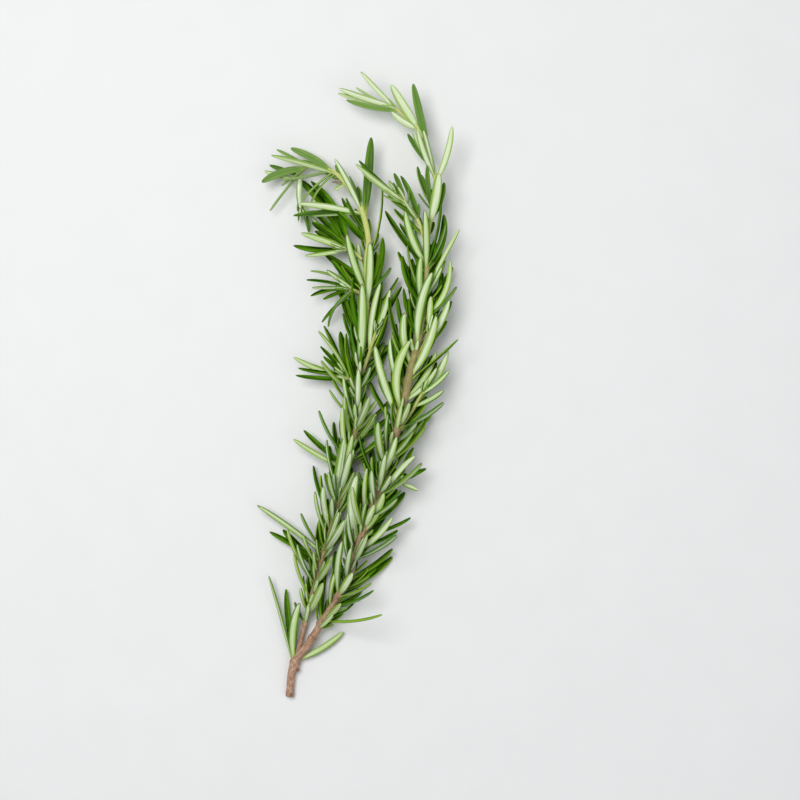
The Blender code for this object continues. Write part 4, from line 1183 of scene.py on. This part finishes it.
def leaf_material():
    """Dark upper face, pale felted underside with a raised rib, rolled yellow-green rims, and
    painted light and shade: a lighter half on the dark face, a shaded half on the pale face,
    highlights on some rims and lines.
    """
    m = Nodes("leaf")
    across, along, tone = m.read("across"), m.read("along"), m.read("tone")
    upper, rim, rib = m.read("upper"), m.read("rim"), m.read("rib")
    age, dry = m.read("age"), m.read("dry")
    apart = m.times(tone, 61.0)
    # Noise for the blade's lengthwise bands and lines, its own pattern; on the dark face their
    # lighter parts also stand in for soft gloss as painted highlight.
    bands_and_gloss = m.noise(m.vector(m.times(across, 1.5), m.times(along, 1.3), apart), 1.6, 2.0)
    streaks_and_gloss = m.noise(m.vector(m.times(across, 3.6), m.times(along, 1.4), apart), 1.7, 3.0, 0.6)
    mottle = m.noise(m.vector(across, m.times(along, 9.0), apart), 2.2, 3.0, 0.6)
    grain = m.noise(m.vector(m.times(across, 2.0), m.times(along, 16.0), apart), 9.0, 2.0, 0.7)

    # Which half of each blade, across its width, gets painted light on the dark face and painted
    # shade on the pale face: picked per leaf, positive on that half and negative on the other.
    light_and_shade_half = m.maths("SUBTRACT", m.maths("FRACT", m.times(tone, 7.0)), 0.5)
    light_and_shade_half = m.times(m.maths("SIGN", light_and_shade_half), across)

    lower = m.band(age, 0.07, 0.13)
    young_low = m.mix(lower, (0.16, 0.3, 0.062), (0.085, 0.2, 0.032))
    young_high = m.mix(lower, (0.4, 0.53, 0.235), (0.23, 0.37, 0.11))
    young = m.mix(tone, young_low, young_high)
    # Lighter lines on the young dark face: the blade's own pattern, partly painted highlight.
    young = m.layered(young, (streaks_and_gloss, 0.45, 0.72, 0.3, (0.4, 0.54, 0.23)))
    grown = m.mix(m.times(tone, tone), (0.0004, 0.013, 0.0001), (0.03, 0.12, 0.001))
    grown = m.layered(
        grown,
        # Painted light: the lighter half of the dark face.
        (light_and_shade_half, 0.0, 0.4, 0.75, (0.12, 0.31, 0.006)),
        # Lighter lines and bands on the older dark face: the blade's own pattern, partly painted
        # highlight.
        (streaks_and_gloss, 0.54, 0.64, 0.55, (0.15, 0.36, 0.01)),
        (streaks_and_gloss, 0.48, 0.36, 0.85, (0.0004, 0.009, 0.0001)),
        (bands_and_gloss, 0.54, 0.64, 0.45, (0.11, 0.3, 0.005)),
        (bands_and_gloss, 0.47, 0.38, 0.7, (0.0004, 0.012, 0.0001)),
    )
    speckled = m.times(m.band(mottle, 0.56, 0.72), m.band(age, 0.45, 0.95, 0.1, 0.5))
    grown = m.mix(speckled, grown, (0.22, 0.37, 0.035))
    dark = m.mix(m.band(age, 0.1, 0.26), young, grown)
    dark = m.mix(m.times(rib, 0.4), dark, (0.13, 0.26, 0.016))

    fresh = m.mix(tone, (0.57, 0.7, 0.36), (0.8, 0.86, 0.72))
    felted = m.mix(tone, (0.44, 0.58, 0.21), (0.73, 0.8, 0.64))
    pale = m.mix(m.band(age, 0.05, 0.45), fresh, felted)
    streaked = m.mix(m.band(age, 0.05, 0.3), (0.49, 0.65, 0.25), (0.31, 0.49, 0.08))
    # Painted shade on one half of the pale face: its colour, and a share that differs from leaf to
    # leaf.
    shaded = m.mix(m.band(age, 0.05, 0.3), (0.43, 0.58, 0.19), (0.27, 0.46, 0.06))
    strength = m.band(m.maths("FRACT", m.times(tone, 13.0)), 0.0, 1.0, 0.35, 0.9)
    pale = m.layered(
        pale,
        (streaks_and_gloss, 0.5, 0.68, 0.45, streaked),
        (bands_and_gloss, 0.52, 0.64, 0.45, streaked),
        (streaks_and_gloss, 0.46, 0.34, 0.5, (0.78, 0.83, 0.71)),
        (grain, 0.5, 0.66, 0.35, (0.78, 0.83, 0.72)),
        # Painted shade: the shaded half of the pale face.
        (light_and_shade_half, 0.1, 0.6, strength, shaded),
    )
    pale = m.mix(m.times(rib, 0.6), pale, (0.74, 0.81, 0.54))

    colour = m.mix(m.band(upper, 0.2, 0.75), pale, dark)
    # The colour of the rolled rims: their own yellow-green, darker on some leaves and lighter on
    # others, the lighter ones partly a painted highlight of light caught along the rim; young rims
    # are paler.
    varied = m.noise(m.vector(tone, 5.3, 2.1), 19.0, 0.0)
    edge = m.mix(m.band(varied, 0.36, 0.64), (0.055, 0.19, 0.003), (0.265, 0.44, 0.035))
    edge = m.mix(m.band(age, 0.05, 0.26, 0.75, 0.0), edge, (0.41, 0.57, 0.19))
    colour = m.layered(colour, (rim, 0.3, 0.95, 0.85, edge))
    root = m.band(along, 0.03, 0.16, 0.7, 0.0)
    colour = m.mix(root, colour, (0.4, 0.48, 0.13))
    worn = m.noise(m.vector(tone, 3.7, 1.1), 23.0, 0.0)
    worn = m.times(m.band(along, 0.94, 1.0), m.band(worn, 0.54, 0.6))
    colour = m.mix(m.times(worn, 0.8), colour, (0.16, 0.085, 0.03))
    withered = m.mix(mottle, (0.22, 0.125, 0.09), (0.45, 0.35, 0.29))
    colour = m.mix(dry, colour, withered)
    roughness = m.band(upper, 0.2, 0.75, 0.88, 0.4)
    roughness = m.maths("MULTIPLY_ADD", m.maths("SUBTRACT", grain, 0.5), 0.2, roughness)
    height = m.maths("MULTIPLY_ADD", streaks_and_gloss, 0.6, m.times(grain, 0.4))
    return m.finish(colour, roughness, m.bump(height, 0.4, 0.00012), shine=0.012)


def stem_material():
    """Brown cracked bark at the foot, tan and olive above it, and yellow-green young stem."""
    m = Nodes("stem")
    length, turn, age = m.read("length"), m.read("round"), m.read("age")
    cut, scar = m.read("cut"), m.read("scar")
    angle = m.times(turn, 2 * math.pi)
    sine, cosine = m.maths("SINE", angle), m.maths("COSINE", angle)
    cracks = m.noise(m.vector(sine, cosine, m.times(length, 0.1)), 4.2, 4.0, 0.62)
    patches = m.noise(m.vector(m.times(sine, 0.6), cosine, m.times(length, 0.45)), 1.3, 2.0)
    grain = m.noise(m.vector(m.times(sine, 2.0), m.times(cosine, 2.0), length), 3.4, 3.0, 0.6)

    young = m.mix(m.band(cracks, 0.3, 0.7), (0.47, 0.53, 0.14), (0.66, 0.7, 0.24))
    middle = m.mix(m.band(cracks, 0.3, 0.7), (0.18, 0.158, 0.048), (0.37, 0.33, 0.12))
    bark = m.mix(m.band(cracks, 0.36, 0.62), (0.2, 0.098, 0.06), (0.49, 0.29, 0.19))
    bark = m.layered(bark, (patches, 0.48, 0.68, 0.6, (0.62, 0.43, 0.32)))
    woody = m.maths("MULTIPLY_ADD", m.maths("SUBTRACT", patches, 0.5), 0.35, age)
    colour = m.mix(m.band(woody, 0.2, 0.55), young, middle)
    colour = m.mix(m.band(woody, 0.6, 0.9), colour, bark)
    colour = m.layered(colour, (grain, 0.5, 0.72, 0.3, (0.56, 0.52, 0.33)))
    scarred = m.times(m.band(scar, 0.35, 0.9), m.band(age, 0.3, 0.8))
    colour = m.mix(scarred, colour, (0.15, 0.085, 0.045))
    wood = m.mix(m.band(cut, 0.2, 0.4), (0.26, 0.23, 0.11), (0.64, 0.56, 0.37))
    wood = m.layered(wood, (grain, 0.45, 0.65, 0.4, (0.45, 0.35, 0.2)))
    face = m.times(m.band(cut, 0.86, 0.95, 1.0, 0.0), m.band(age, 0.95, 0.99))
    colour = m.mix(face, colour, wood)
    roughness = m.maths("MULTIPLY_ADD", cracks, 0.3, 0.5)
    height = m.maths("MULTIPLY_ADD", cracks, 0.7, m.times(grain, 0.3))
    return m.finish(colour, roughness, m.bump(height, 0.5, 0.0002), sheen=0.04, shine=0.25)


def down_material():
    """The pale down of the young stems."""
    m = Nodes("down")
    tone = m.read("tone")
    spot = m.noise(m.place(), 900.0)
    colour = m.mix(tone, (0.62, 0.68, 0.42), (0.8, 0.83, 0.7))
    colour = m.mix(m.times(spot, 0.4), colour, (0.5, 0.58, 0.28))
    roughness = m.band(spot, 0.0, 1.0, 0.6, 0.8)
    return m.finish(colour, roughness, m.bump(spot, 0.1, 0.00002), shine=0.3)


def floor_material():
    m = Nodes("pale_floor")
    specks = m.noise(m.place(), 60.0, 3.0)
    colour = m.mix(specks, (0.77, 0.775, 0.781), (0.805, 0.809, 0.815))
    roughness = m.maths("MULTIPLY_ADD", specks, 0.1, 0.75)
    return m.finish(colour, roughness, m.bump(specks, 0.02, 0.0001), shine=0.2)


def dress_node(thicket, name, left, added, leaf, stem, down):
    """The fine pieces that stand in the place of one node."""
    ages = STEM_AGES[name]
    route = thicket.stems[name]
    woody = name == "woody_stem"
    first_node = FOOT_NODE if woody else FIRST_NODE
    skin = stem_object(name + "_skin", route, ages, stem, first_node, knob=woody)
    pieces = [(skin, "bark" if woody else "foliage")]
    if woody:
        arm = part_of(left, 0.0, LEFT_FOOT + JOINT_GAP)
        arm = stem_object("woody_stem_left_arm", arm, ages, stem, start=ARM_START)
        pieces.append((arm, "bark"))
    else:
        pieces.append((down_object(name + "_down", route, ages, len(name), down), "foliage"))
    for twig, (node, _) in TWIGS.items():
        if node == name:
            pieces.append((stem_object(twig, thicket.stems[twig], TWIG_AGES, stem), "foliage"))
    packed = [blade for blade in thicket.leaves[name] if blade not in added]
    pieces.append((leaves_object(name + "_blades", packed, len(name), leaf), "foliage"))
    extra = [blade for blade in added if blade in thicket.leaves[name]]
    if extra:
        pieces.append((leaves_object(name + "_tufts", extra, 7 * len(name), leaf), "foliage"))
    for piece, slot in pieces:
        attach(piece, "root")
        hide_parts(name)


def dress():
    """Fine stems and leaves in the place of each node."""
    thicket, left = grow()
    added = add_buds(thicket)
    for group in GROUPS:
        added += add_groups(thicket, *group)
    for number, stem in enumerate(thicket.stems):
        if stem != "woody_stem":
            crown = add_crown(thicket, stem, CROWN_SEED + number)
            thicket.leaves[thicket.node_of[stem]].extend(crown)
            added += crown
    leaf, stem, down = leaf_material(), stem_material(), down_material()
    for name in STEM_AGES:
        dress_node(thicket, name, left, added, leaf, stem, down)


# The photo's middle pixel column and row lie over this point, and 800 pixels span this width.
VIEW_X = 0.0147
VIEW_Y = -0.0049
VIEW_WIDTH = 0.28
VIEW_LEVEL = 0.012
SENSOR = 36.0
LENS = 100.0
WORLD_STRENGTH = 0.36
WORLD_COLOUR = (0.97, 0.985, 1.0, 1.0)
FLOOR_SIZE = 6.0
# Each light's name, place, size, power and colour.
LIGHTS = (
    ("key", (-0.22, 0.2, 0.85), 0.5, 5.8, (1.0, 0.995, 0.98)),
    ("fill", (0.5, -0.3, 0.9), 0.8, 1.6, (0.98, 0.99, 1.0)),
)


def add_floor():
    bpy.ops.mesh.primitive_plane_add(size=FLOOR_SIZE, location=(0, 0, 0))
    floor = bpy.context.active_object
    floor.name = "floor"
    floor.data.materials.append(floor_material())


def add_light(name, place, size, power, colour):
    lamp = bpy.data.lights.new(name, "AREA")
    lamp.shape = "DISK"
    lamp.size = size
    lamp.energy = power
    lamp.color = colour
    holder = bpy.data.objects.new(name, lamp)
    holder.location = place
    holder.rotation_euler = Vector([-value for value in place]).to_track_quat("-Z", "Y").to_euler()
    bpy.context.scene.collection.objects.link(holder)


def add_world():
    world = bpy.data.worlds.new("studio")
    world.use_nodes = True
    background = world.node_tree.nodes["Background"]
    background.inputs["Color"].default_value = WORLD_COLOUR
    background.inputs["Strength"].default_value = WORLD_STRENGTH
    bpy.context.scene.world = world


def add_camera():
    camera = bpy.data.cameras.new("camera")
    camera.lens = LENS
    camera.sensor_width = SENSOR
    camera.sensor_fit = "HORIZONTAL"
    camera.clip_start = 0.01
    camera.clip_end = 20.0
    holder = bpy.data.objects.new("camera", camera)
    holder.location = (VIEW_X, VIEW_Y, VIEW_LEVEL + VIEW_WIDTH * LENS / SENSOR)
    bpy.context.scene.collection.objects.link(holder)
    bpy.context.scene.camera = holder


dress()
add_floor()
add_world()
for light in LIGHTS:
    add_light(*light)
add_camera()
bpy.context.scene.view_settings.view_transform = "Standard"
